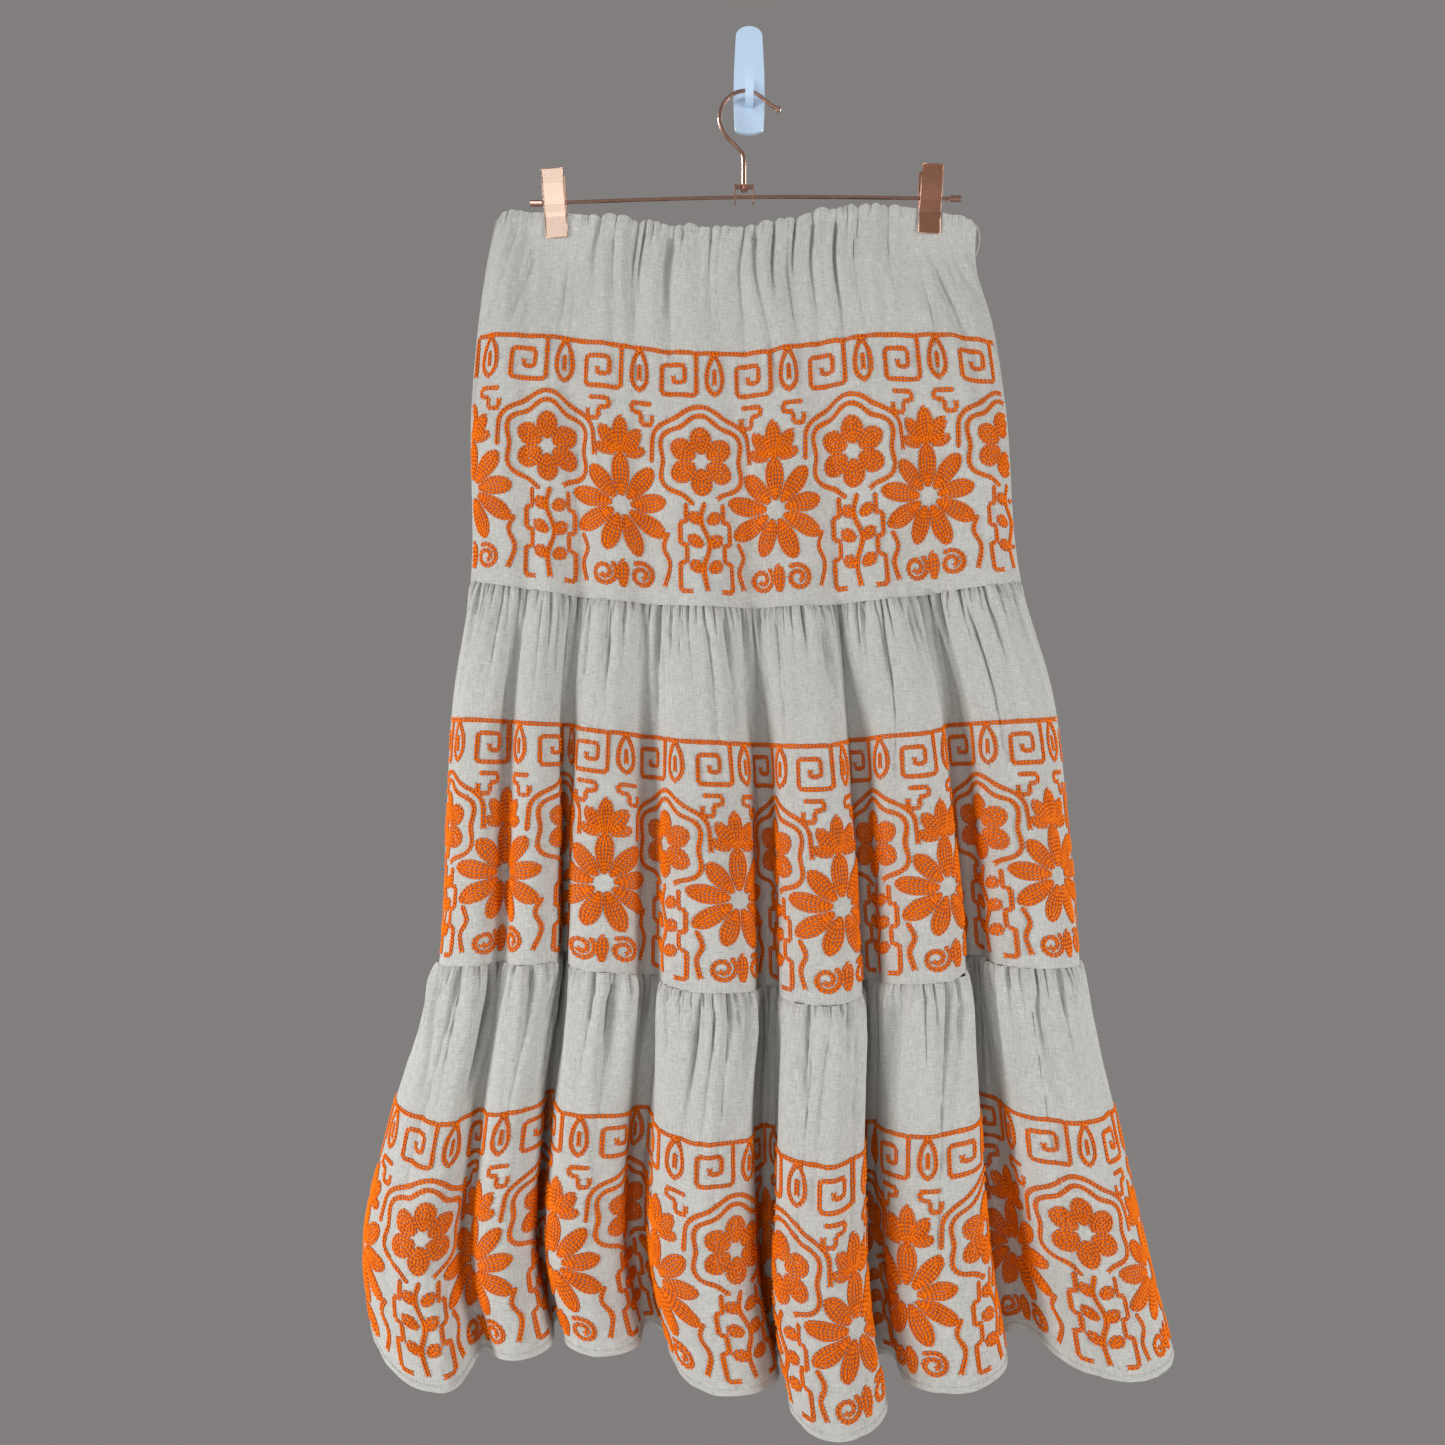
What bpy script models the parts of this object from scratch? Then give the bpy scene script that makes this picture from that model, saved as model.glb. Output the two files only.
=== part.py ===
"""Tiered maxi skirt, hung by its waist from a clip hanger on a wall hook.

The origin is the centre of the wall hook's back face. +Z is up, +X is to the viewer's right, and the
wall is the plane Y = 0 with everything in front of it, towards -Y. Sizes here are in millimetres, and
depth is the distance in front of the wall, so Y is minus the depth.
"""

import math
from collections import namedtuple

import bmesh
import bpy
import numpy as np

MM = 0.001

# The cloth and its cut.
WALL = 1.2
SEAM_GAP = 0.3
# The two sides of a gathered seam have unlike columns, so the upper one ends this much higher still.
SEAM_SLACK = 0.35
CASING_HEIGHT = 9.0
TIER_HEIGHT = 292.0
TIERS = ("tier_1", "tier_2", "tier_3")

# The outline, one row for each level. at counts tiers down from the waist edge. left and right are the
# sides' X, side the sides' depth. front and back are the mean depths of the two walls, and the two
# folds columns say how much of the large folds each wall shows there. hem says how far the front folds
# have gone from their form at the lower seam to their form at the hem. turn is the angle, in degrees,
# at which the cloth leaves the side towards the front and towards the wall.
LEVEL_COLUMNS = ("at", "left", "right", "side", "front", "front_folds", "back", "back_folds", "hem", "turn")
LEVELS = (
    (0.00, -198.6, 178.5, 15.0, 20.0, 0.05, 8.5, 0.04, 0.00, 20.0),
    (0.12, -205.5, 178.0, 15.4, 22.5, 0.08, 7.8, 0.06, 0.00, 26.0),
    (0.28, -212.0, 190.5, 16.4, 26.0, 0.14, 7.4, 0.10, 0.00, 32.0),
    (0.50, -217.5, 200.0, 18.0, 29.5, 0.20, 7.4, 0.14, 0.00, 38.0),
    (1.00, -217.7, 211.8, 22.0, 37.0, 0.34, 8.5, 0.22, 0.00, 45.0),
    (1.31, -230.0, 235.5, 27.0, 49.0, 0.74, 11.0, 0.40, 0.00, 55.0),
    (1.65, -234.0, 245.0, 32.5, 62.0, 1.08, 15.0, 0.60, 0.00, 62.0),
    (2.00, -237.3, 252.3, 38.0, 73.0, 1.20, 18.5, 0.80, 0.00, 70.0),
    (2.45, -271.0, 278.0, 47.0, 82.0, 1.20, 22.0, 1.00, 0.45, 75.0),
    (2.80, -290.0, 301.0, 52.0, 87.0, 1.20, 22.5, 1.00, 0.80, 80.0),
    (3.00, -284.0, 315.0, 54.0, 89.0, 1.20, 22.5, 1.00, 1.00, 80.0),
)

# The front's large folds from left to right, one row for each ridge and each gap between two. along is
# the place as a share of the width, out is how far it stands proud of the wall's mean depth, and z is
# the height of the cloth's edge there, each at the lower seam and at the hem.
FOLD_COLUMNS = ("name", "along_seam", "along_hem", "out_seam", "out_hem", "z_seam", "z_hem")
FRONT_FOLDS = (
    ("one", 0.070, 0.108, 10.0, 21.0, -691.0, -984.0),
    ("dip_one", 0.107, 0.150, -2.0, -8.0, -690.0, -973.0),
    ("one_right", 0.145, 0.192, 12.0, 10.0, -690.0, -968.0),
    ("gap_one", 0.200, 0.238, -20.0, -29.0, -687.0, -962.0),
    ("two", 0.258, 0.292, 11.0, 9.0, -695.0, -966.0),
    ("gap_two", 0.328, 0.350, -12.0, -28.0, -702.0, -966.0),
    ("three", 0.425, 0.446, 20.0, 22.0, -708.0, -985.0),
    ("gap_three", 0.512, 0.524, -20.0, -30.0, -713.0, -988.0),
    ("four", 0.590, 0.572, 22.0, 38.0, -716.0, -1005.0),
    ("gap_four", 0.664, 0.640, -18.0, -28.0, -708.0, -988.0),
    ("five", 0.742, 0.712, 17.0, 20.0, -702.0, -985.0),
    ("gap_five", 0.828, 0.808, -21.0, -30.0, -690.0, -970.0),
    ("six", 0.906, 0.920, 13.0, 14.0, -692.0, -980.0),
)
# The back's folds are even ones. Their places and depths vary by these shares, at these steps in radians.
BACK_FOLD_COUNT = 11
BACK_FOLD_DEPTH = 18.0
BACK_FOLD_DRIFT = 0.16
BACK_DRIFT_STEP = 1.7
BACK_DEPTH_SPREAD = 0.14
BACK_DEPTH_STEP = 2.3

# The height of the cloth's edge at the waist, along X, and at the sides of each seam and of the hem.
WAIST_EDGE_X = (-200.0, -151.0, -95.0, -39.0, 10.0, 55.0, 100.0, 140.0, 180.0)
WAIST_EDGE_Z = (-114.0, -112.0, -120.5, -128.0, -125.0, -114.5, -108.5, -109.5, -120.0)
UPPER_SEAM_SIDE = -404.0
UPPER_SEAM_SAG = {"front": 22.0, "back": 8.0}
LOWER_SEAM_SIDES = (-696.0, -695.0)
HEM_SIDES = (-955.0, -981.0)
BACK_SAG = 5.0

# The gathers of each tier's upper edge on one half, and the rows below that edge that carry them.
# waves is their number on a half, rise the distance at which they stand fully out, and shortest and
# longest how far down they run.
Gather = namedtuple("Gather", ("waves", "height", "rise", "shortest", "longest"))
GATHERS = {
    "tier_1": Gather(waves=18, height=1.5, rise=6.0, shortest=60.0, longest=170.0),
    "tier_2": Gather(waves=28, height=2.5, rise=13.0, shortest=35.0, longest=110.0),
    "tier_3": Gather(waves=44, height=2.4, rise=13.0, shortest=30.0, longest=100.0),
}
ROWS_BELOW = {
    "tier_1": (CASING_HEIGHT, 30.0, 62.0, 110.0, 180.0, 240.0),
    "tier_2": (0.0, 6.0, 16.0, 38.0, 80.0, 145.0, 215.0),
    "tier_3": (0.0, 6.0, 16.0, 36.0, 72.0, 120.0, 175.0, 232.0),
}
EDGE_SHARE_OF_GATHER = 0.35
COLUMN_UNEVENNESS = 0.22
GOLDEN_TURN = 2.39996

# The hanger, in the plane that lies this far in front of the wall.
HANGER_DEPTH = 14.0
BAR_RADIUS = 1.5
BAR_POINTS = ((-163.0, -105.0), (-84.0, -102.2), (-3.5, -100.2), (64.0, -100.1), (157.2, -101.3))
CAP_RADIUS = 2.5
CAP_LENGTH = 9.0
BORE_GAP = 0.4
HOOK_RADIUS = 1.6
HOOK_POINTS = (
    (22.6, -31.0), (15.1, -26.3), (6.0, -18.9), (-3.5, -16.3), (-13.4, -19.2), (-20.9, -26.8),
    (-23.4, -37.8), (-21.6, -46.2), (-17.2, -53.4), (-10.2, -60.2), (-5.4, -66.2), (-4.3, -73.0),
    (-4.3, -82.0), (-4.3, -94.2),
)
HOOK_TIP_RADIUS = 2.3
HOOK_HEAD_RADIUS = 3.0
HOOK_HEAD_HEIGHT = 1.6
SADDLE_X = -4.3
SADDLE_TOP = -91.4
SADDLE_WIDTH = 15.6
SADDLE_DEPTH = 7.0
SADDLE_WALL = 1.2
SADDLE_BOTTOM = -104.6
# Pieces that are joined stay this far inside each other's faces, so that no two faces lie in one plane.
JOIN_INSET = 0.01

# The clips. Each is two plates on the bar, with a spring between them.
Clip = namedtuple("Clip", ("name", "x", "lean"))
CLIPS = (Clip("left", -153.0, 3.5), Clip("right", 142.3, -2.5))
CLIP_BORE_GAP = 0.9
CLIP_WIDTH = 16.6
CLIP_SHEET = 1.2
# The plate's profile from its top to its lower edge: height above the bar, and inner face to mid-plane.
CLIP_PROFILE = ((23.6, 6.6), (12.5, 5.9), (4.0, 5.0), (-3.0, 3.6), (-8.5, 2.0), (-12.0, 1.65), (-28.4, 1.65))
EAR_SIZE = (1.0, 7.4, 8.0)
EAR_OVERLAP = 2.2
FRONT_EAR_INSET = 0.05
BACK_EAR_INSET = 1.6
SPRING_RADIUS = 3.3
SPRING_LENGTH = 9.4
PINCH_HALF_WIDTH = 12.5
PINCH_REACH = 42.0
PINCH_FADE = 90.0

# The wall hook.
HOOK_PLATE_TOP = 41.1
HOOK_PLATE_BOTTOM = -44.6
HOOK_PLATE_THICK = 3.6
HOOK_PLATE_TOP_ROUND = 8.0
HOOK_PLATE_FOOT_ROUND = 5.0
HOOK_PLATE_SOFT_EDGE = 0.9
HOOK_PLATE_WIDTHS = ((0.9, 21.2), (0.75, 22.6), (0.6, 24.0), (0.4, 24.8), (0.2, 24.4), (0.0, 22.6))
TONGUE_WIDTH = 6.4
TONGUE_THICK = 3.8
TONGUE_POINTS = (
    (1.5, -22.1), (7.0, -22.2), (12.0, -22.1), (15.8, -20.9), (18.5, -17.6), (19.9, -11.8), (20.9, -1.0),
)

# How a ring is worked out: points in each stretch, the swing's limit in radians and its halvings, and
# the share of the width over which a heading is read. A fold's ridge is broad and the gap beside it
# narrow: the swing runs as a sine of the way from the gap to this power, which is 1 for even waves.
SAMPLES = 24
GAP_NARROWNESS = 0.68
WIDEST_SWING = 2.3
HALVINGS = 40
HEADING_REACH = 0.002
COLORS = {
    "linen": ((0.57, 0.55, 0.51), 0.85, 0.0),
    "rose_gold": ((0.80, 0.46, 0.33), 0.28, 1.0),
    "white_plastic": ((0.78, 0.83, 0.88), 0.35, 0.0),
}


def clear_scene():
    for item in list(bpy.data.objects):
        bpy.data.objects.remove(item, do_unlink=True)


def new_collection(name):
    made = bpy.data.collections.new(name)
    bpy.context.scene.collection.children.link(made)
    return made


def new_material(name, color, roughness, metallic):
    made = bpy.data.materials.new(name)
    made.use_nodes = True
    shader = made.node_tree.nodes["Principled BSDF"]
    shader.inputs["Base Color"].default_value = (*color, 1.0)
    shader.inputs["Roughness"].default_value = roughness
    shader.inputs["Metallic"].default_value = metallic
    return made


def point(x, depth, z):
    return (x * MM, -depth * MM, z * MM)


def level(at, column):
    """A column of LEVELS at a height between its rows, on a smooth curve through them."""
    values = np.array([row[LEVEL_COLUMNS.index(column)] for row in LEVELS])
    places = np.array([row[0] for row in LEVELS])
    slopes = np.gradient(values, places)
    low = int(np.clip(np.searchsorted(places, at, side="right") - 1, 0, len(places) - 2))
    step = places[low + 1] - places[low]
    t = (at - places[low]) / step
    rise = t * t * (3 - 2 * t)
    start = t * (1 - t) ** 2 * step * slopes[low]
    end = t * t * (t - 1) * step * slopes[low + 1]
    return float(values[low] + rise * (values[low + 1] - values[low]) + start + end)


def front_keys(at):
    """The X and depth of the front's sides, ridges and gaps at one height."""
    hem = level(at, "hem")
    left, right, side = level(at, "left"), level(at, "right"), level(at, "side")
    folds = level(at, "front_folds")
    mean = level(at, "front")
    keys = [(left, side)]
    for _, along_seam, along_hem, out_seam, out_hem, _, _ in FRONT_FOLDS:
        along = along_seam + hem * (along_hem - along_seam)
        out = out_seam + hem * (out_hem - out_seam)
        keys.append((left + along * (right - left), mean + folds * out))
    keys.append((right, side))
    return np.array(keys)


def back_keys(at):
    """The same for the back, whose folds are even ones with a little drift."""
    left, right, side = level(at, "left"), level(at, "right"), level(at, "side")
    folds = level(at, "back_folds")
    mean = level(at, "back")
    count = 2 * BACK_FOLD_COUNT
    keys = [(left, side)]
    for i in range(1, count):
        along = (i + BACK_FOLD_DRIFT * math.sin(BACK_DRIFT_STEP * i)) / count
        uneven = 1 - BACK_DEPTH_SPREAD + BACK_DEPTH_SPREAD * math.sin(BACK_DEPTH_STEP * i)
        out = BACK_FOLD_DEPTH * uneven * (-1) ** i
        keys.append((left + along * (right - left), mean + folds * out))
    keys.append((right, side))
    return np.array(keys)


def fold_path(keys, start, end):
    """A ring's half through its keys, as points at equal steps in each stretch.

    Between two keys the cloth's heading swings out and back as a sine, which is how a bent sheet lies,
    and it swings most near the inner key. Halving finds the swing with which a stretch ends at its key.
    """
    step = np.diff(keys, axis=0)
    turn_in = np.zeros(len(step))
    turn_out = np.zeros(len(step))
    turn_in[0], turn_out[-1] = start, end
    t = (np.arange(SAMPLES) + 0.5) / SAMPLES
    lean = turn_in[:, None] * (1 - t) + turn_out[:, None] * t
    goal = np.arctan2(step[:, 1], step[:, 0])
    from_gap = np.where(step[:, 1:] > 0, t, 1 - t)
    bend = np.sin(math.pi * from_gap**GAP_NARROWNESS)
    low = np.full(len(step), -WIDEST_SWING)
    high = np.full(len(step), WIDEST_SWING)
    for _ in range(HALVINGS):
        swing = (low + high) / 2
        heading = lean + swing[:, None] * bend
        net = np.arctan2(np.sin(heading).mean(axis=1), np.cos(heading).mean(axis=1))
        high = np.where(net > goal, swing, high)
        low = np.where(net > goal, low, swing)
    across = np.cos(heading).mean(axis=1)
    outward = np.sin(heading).mean(axis=1)
    length = np.hypot(step[:, 0], step[:, 1]) / np.hypot(across, outward)
    pieces = np.stack([np.cos(heading), np.sin(heading)], axis=2) * (length / SAMPLES)[:, None, None]
    path = np.vstack([keys[:1], keys[0] + np.cumsum(pieces.reshape(-1, 2), axis=0)])
    run = np.concatenate([[0.0], np.cumsum(np.repeat(length / SAMPLES, SAMPLES))])
    return path, run / run[-1]


def half_ring(half, at):
    """The points of one half of the ring and their shares of the cloth's width."""
    turn = math.radians(level(at, "turn"))
    part = SEAM_GAP / 2 + WALL / 2 * math.cos(turn)
    sign = 1 if half == "front" else -1
    keys = front_keys(at) if half == "front" else back_keys(at)
    keys[0, 1] += sign * part
    keys[-1, 1] += sign * part
    return fold_path(keys, sign * turn, -sign * turn)


def eased(shares, places, values):
    """Values between places, eased from each to the next."""
    low = np.clip(np.searchsorted(places, shares, side="right") - 1, 0, len(places) - 2)
    places, values = np.asarray(places), np.asarray(values)
    t = np.clip((shares - places[low]) / (places[low + 1] - places[low]), 0, 1)
    t = t * t * (3 - 2 * t)
    return values[low] + t * (values[low + 1] - values[low])


def key_shares(half, at):
    _, share = half_ring(half, at)
    return share[::SAMPLES]


def edge_height(half, edge, share, x):
    """The height of edge 0 (waist), 1 and 2 (seams) or 3 (hem), at these shares of the width."""
    if edge == 0:
        return np.interp(x, WAIST_EDGE_X, WAIST_EDGE_Z)
    if edge == 1:
        return UPPER_SEAM_SIDE - UPPER_SEAM_SAG[half] * np.sin(math.pi * share)
    sides = LOWER_SEAM_SIDES if edge == 2 else HEM_SIDES
    if half == "back":
        return sides[0] + (sides[1] - sides[0]) * share - BACK_SAG * np.sin(math.pi * share)
    column = FOLD_COLUMNS.index("z_seam" if edge == 2 else "z_hem")
    heights = [sides[0], *(row[column] for row in FRONT_FOLDS), sides[1]]
    return eased(share, key_shares(half, float(edge)), heights)


def smooth_route(points, per_span):
    """Points on a smooth curve through the given ones."""
    places = np.array(points, dtype=float)
    ends = np.vstack([2 * places[0] - places[1], places, 2 * places[-1] - places[-2]])
    route = []
    for i in range(len(places) - 1):
        a, b, c, d = ends[i : i + 4]
        for t in np.arange(per_span) / per_span:
            bend = (2 * a - 5 * b + 4 * c - d) * t * t + (3 * b - a - 3 * c + d) * t**3
            route.append(0.5 * (2 * b + (c - a) * t + bend))
    return [*route, places[-1]]


def bar_height(x):
    """The height of the bar's middle at this X."""
    route = np.array(smooth_route(BAR_POINTS, 6))
    return float(np.interp(x, route[:, 0], route[:, 1]))


def pinch(x, z):
    """How far the clips hold the cloth flat, from 0 to 1, and nothing well away from them."""
    held = np.zeros_like(x)
    for clip in CLIPS:
        aside = np.clip((np.abs(x - clip.x) - PINCH_HALF_WIDTH) / PINCH_REACH, 0, 1)
        lower_edge = bar_height(clip.x) + CLIP_PROFILE[-1][0]
        below = np.clip((lower_edge - 2.0 - z) / PINCH_FADE, 0, 1)
        held = np.maximum(held, (1 - aside * aside * (3 - 2 * aside)) * (1 - below * below * (3 - 2 * below)))
    return held


def cloth_row(half, tier, below, share, gather=None):
    """The points of one row of cloth, below millimetres under its tier's upper edge."""
    number = TIERS.index(tier)
    down = below / TIER_HEIGHT
    path, run = half_ring(half, number + down)
    x = np.interp(share, run, path[:, 0])
    depth = np.interp(share, run, path[:, 1])
    ahead, behind = share + HEADING_REACH, share - HEADING_REACH
    along_x = np.interp(ahead, run, path[:, 0]) - np.interp(behind, run, path[:, 0])
    along_d = np.interp(ahead, run, path[:, 1]) - np.interp(behind, run, path[:, 1])
    size = np.hypot(along_x, along_d)
    top = edge_height(half, number, share, x)
    bottom = edge_height(half, number + 1, share, x)
    z = top + down * (bottom - top)
    held = pinch(x, z)
    flat = HANGER_DEPTH + (1 if half == "front" else -1) * (WALL + SEAM_GAP) / 2
    depth = depth + held * (flat - depth)
    if gather is not None:
        x = x - gather * (1 - held) * along_d / size
        depth = depth + gather * (1 - held) * along_x / size
    return np.stack([x, depth, z], axis=1)


def gather_columns(tier):
    """The shares of the width at which a tier's columns stand: each crest and each trough."""
    count = 2 * GATHERS[tier].waves
    inner = np.arange(1, count)
    uneven = COLUMN_UNEVENNESS * np.sin(inner * GOLDEN_TURN)
    return np.concatenate([[0.0], (inner + uneven) / count, [1.0]])


def gather_height(tier, below, columns):
    """How far each column stands out at this distance under the tier's upper edge."""
    sort = GATHERS[tier]
    number = np.arange(columns)
    share = 0.5 + 0.5 * np.sin((number // 2) * GOLDEN_TURN)
    reach = sort.shortest + (sort.longest - sort.shortest) * share
    grown = EDGE_SHARE_OF_GATHER + (1 - EDGE_SHARE_OF_GATHER) * min(below / sort.rise, 1.0)
    side = np.clip(np.minimum(number, columns - 1 - number) / 2, 0, 1)
    return sort.height * grown * np.exp(-((below / reach) ** 2)) * side * np.where(number % 2, 1.0, -1.0)


def sheet_object(name, rows, thickness, material, collection, offset=0.0):
    """An open surface through rows of points, given its thickness by Solidify."""
    grid = bmesh.new()
    verts = [[grid.verts.new(point(*place)) for place in row] for row in rows]
    for upper, lower in zip(verts, verts[1:]):
        for i in range(len(upper) - 1):
            grid.faces.new((upper[i], lower[i], lower[i + 1], upper[i + 1]))
    mesh = bpy.data.meshes.new(name)
    grid.to_mesh(mesh)
    grid.free()
    made = bpy.data.objects.new(name, mesh)
    collection.objects.link(made)
    wall = made.modifiers.new("wall", "SOLIDIFY")
    wall.thickness = thickness * MM
    wall.offset = offset
    mesh.materials.append(material)
    mesh.shade_smooth()
    return made


def cloth_panel(tier, half, belows, name, material, collection):
    columns = gather_columns(tier)
    rows = []
    for below in belows:
        gather = gather_height(tier, below, len(columns))
        rows.append(cloth_row(half, tier, below, columns, gather))
    return sheet_object(name, rows, WALL, material, collection)


def build_skirt(material, collection):
    """Three tiers and the waist's casing, each cut as a front and a back."""
    for half in ("front", "back"):
        casing = (0.0, CASING_HEIGHT / 2, CASING_HEIGHT - SEAM_GAP)
        cloth_panel("tier_1", half, casing, f"waist_casing_{half}", material, collection)
        for tier in TIERS:
            belows = list(ROWS_BELOW[tier])
            if tier != "tier_1":
                belows[0] = SEAM_GAP / 2
            last = TIER_HEIGHT - (0.0 if tier == "tier_3" else SEAM_GAP / 2 + SEAM_SLACK)
            cloth_panel(tier, half, (*belows, last), f"{tier}_{half}", material, collection)


def wire_object(name, points, radius, material, collection):
    """A round wire along points given as X and Z in the hanger's plane."""
    curve = bpy.data.curves.new(name, "CURVE")
    curve.dimensions = "3D"
    curve.bevel_depth = radius * MM
    curve.bevel_resolution = 2
    curve.use_fill_caps = True
    spline = curve.splines.new("POLY")
    spline.points.add(len(points) - 1)
    for spot, (x, z) in zip(spline.points, points):
        spot.co = (*point(x, HANGER_DEPTH, z), 1.0)
    made = bpy.data.objects.new(name, curve)
    collection.objects.link(made)
    curve.materials.append(material)
    return made


def made_mesh(curve_object):
    """The curve as a mesh of one skin, so that it can be joined and cut."""
    bpy.context.view_layer.update()
    graph = bpy.context.evaluated_depsgraph_get()
    mesh = bpy.data.meshes.new_from_object(curve_object.evaluated_get(graph))
    skin = bmesh.new()
    skin.from_mesh(mesh)
    bmesh.ops.remove_doubles(skin, verts=skin.verts, dist=1e-6)
    bmesh.ops.recalc_face_normals(skin, faces=skin.faces)
    skin.to_mesh(mesh)
    skin.free()
    made = bpy.data.objects.new(curve_object.name, mesh)
    made.matrix_world = curve_object.matrix_world.copy()
    for home in curve_object.users_collection:
        home.objects.link(made)
    name = curve_object.name
    bpy.data.objects.remove(curve_object, do_unlink=True)
    made.name = name
    return made


def primitive(name, material, collection):
    """Takes the object that an operator has just added into its collection, under its name."""
    made = bpy.context.object
    made.name = name
    made.data.name = name
    for home in list(made.users_collection):
        home.objects.unlink(made)
    collection.objects.link(made)
    if material is not None:
        made.data.materials.append(material)
    return made


def cylinder(name, radius, length, place, axis, material, collection, sides=20):
    turns = {"x": (0, math.pi / 2, 0), "y": (math.pi / 2, 0, 0), "z": (0, 0, 0)}
    bpy.ops.mesh.primitive_cylinder_add(
        vertices=sides, radius=radius * MM, depth=length * MM, location=point(*place), rotation=turns[axis]
    )
    return primitive(name, material, collection)


def box(name, size, place, material, collection):
    """A box of size X, depth and Z."""
    bpy.ops.mesh.primitive_cube_add(size=1, location=point(*place))
    made = primitive(name, material, collection)
    for vert in made.data.vertices:
        vert.co = [side * length * MM for side, length in zip(vert.co, size)]
    return made


def boolean(target, tool, operation):
    """Joins the tool to the target or cuts it away, and keeps the tool as a hidden guide."""
    tool.hide_render = True
    tool.display_type = "WIRE"
    change = target.modifiers.new(tool.name, "BOOLEAN")
    change.operation = operation
    change.object = tool


def leaned(objects, x, z, lean):
    """Parents the objects to an empty on the bar, and leans them in the hanger's plane."""
    hub = bpy.data.objects.new(f"hub_{objects[0].name}", None)
    bpy.context.scene.collection.objects.link(hub)
    hub.location = point(x, HANGER_DEPTH, z)
    bpy.context.view_layer.update()
    for item in objects:
        item.parent = hub
        item.matrix_parent_inverse = hub.matrix_world.inverted()
    hub.rotation_euler = (0.0, math.radians(-lean), 0.0)


def clip_plate(name, x, sign, ear_inset, material, collection, guides):
    """One plate of a clip: bent sheet with two ears, bored for the bar."""
    bar_z = bar_height(x)
    rows = []
    for up, inner in CLIP_PROFILE:
        depth = HANGER_DEPTH + sign * (inner + CLIP_SHEET / 2)
        rows.append([(x + turn * sign * CLIP_WIDTH / 2, depth, bar_z + up) for turn in (-1, 1)])
    plate = sheet_object(name, rows, CLIP_SHEET, material, collection)
    parts = [plate]
    reach = HANGER_DEPTH + sign * (EAR_SIZE[1] / 2 - EAR_OVERLAP)
    for side in (-1, 1):
        ear_x = x + side * (CLIP_WIDTH / 2 - ear_inset - EAR_SIZE[0] / 2)
        ear = box(f"{name}_ear_{side}", EAR_SIZE, (ear_x, reach, bar_z), None, guides)
        boolean(plate, ear, "UNION")
        parts.append(ear)
    middle = (x, HANGER_DEPTH, bar_z)
    bore = cylinder(f"{name}_bore", BAR_RADIUS + CLIP_BORE_GAP, CLIP_WIDTH * 2, middle, "x", None, guides)
    boolean(plate, bore, "DIFFERENCE")
    parts.append(bore)
    return parts


def build_clips(material, collection, guides):
    for name, x, lean in CLIPS:
        bar_z = bar_height(x)
        parts = clip_plate(f"clip_{name}_front", x, 1, FRONT_EAR_INSET, material, collection, guides)
        parts += clip_plate(f"clip_{name}_back", x, -1, BACK_EAR_INSET, material, collection, guides)
        middle = (x, HANGER_DEPTH, bar_z)
        spring_name = f"clip_{name}_spring"
        spring = cylinder(spring_name, SPRING_RADIUS, SPRING_LENGTH, middle, "x", material, collection)
        bore_radius = BAR_RADIUS + CLIP_BORE_GAP
        bore = cylinder(f"{spring_name}_bore", bore_radius, SPRING_LENGTH * 2, middle, "x", None, guides)
        boolean(spring, bore, "DIFFERENCE")
        leaned([*parts, spring, bore], x, bar_z, lean)


def build_hanger(material, collection, guides):
    wire_object("hanger_bar", smooth_route(BAR_POINTS, 4), BAR_RADIUS, material, collection)
    for side, (x, z), step in (("left", BAR_POINTS[0], -1), ("right", BAR_POINTS[-1], 1)):
        middle = (x + step * (SEAM_GAP + CAP_LENGTH / 2), HANGER_DEPTH, z)
        cylinder(f"bar_cap_{side}", CAP_RADIUS, CAP_LENGTH, middle, "x", material, collection)
    hook_route = smooth_route(HOOK_POINTS, 3)
    hook = made_mesh(wire_object("hanger_hook", hook_route, HOOK_RADIUS, material, collection))
    tip_x, tip_z = HOOK_POINTS[0]
    bpy.ops.mesh.primitive_uv_sphere_add(
        segments=12, ring_count=8, radius=HOOK_TIP_RADIUS * MM, location=point(tip_x, HANGER_DEPTH, tip_z)
    )
    boolean(hook, primitive("hook_tip", None, guides), "UNION")
    head_z = HOOK_POINTS[-1][1] - HOOK_HEAD_HEIGHT / 4
    head = cylinder(
        "hook_head", HOOK_HEAD_RADIUS, HOOK_HEAD_HEIGHT, (SADDLE_X, HANGER_DEPTH, head_z), "z", None, guides
    )
    boolean(hook, head, "UNION")


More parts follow.
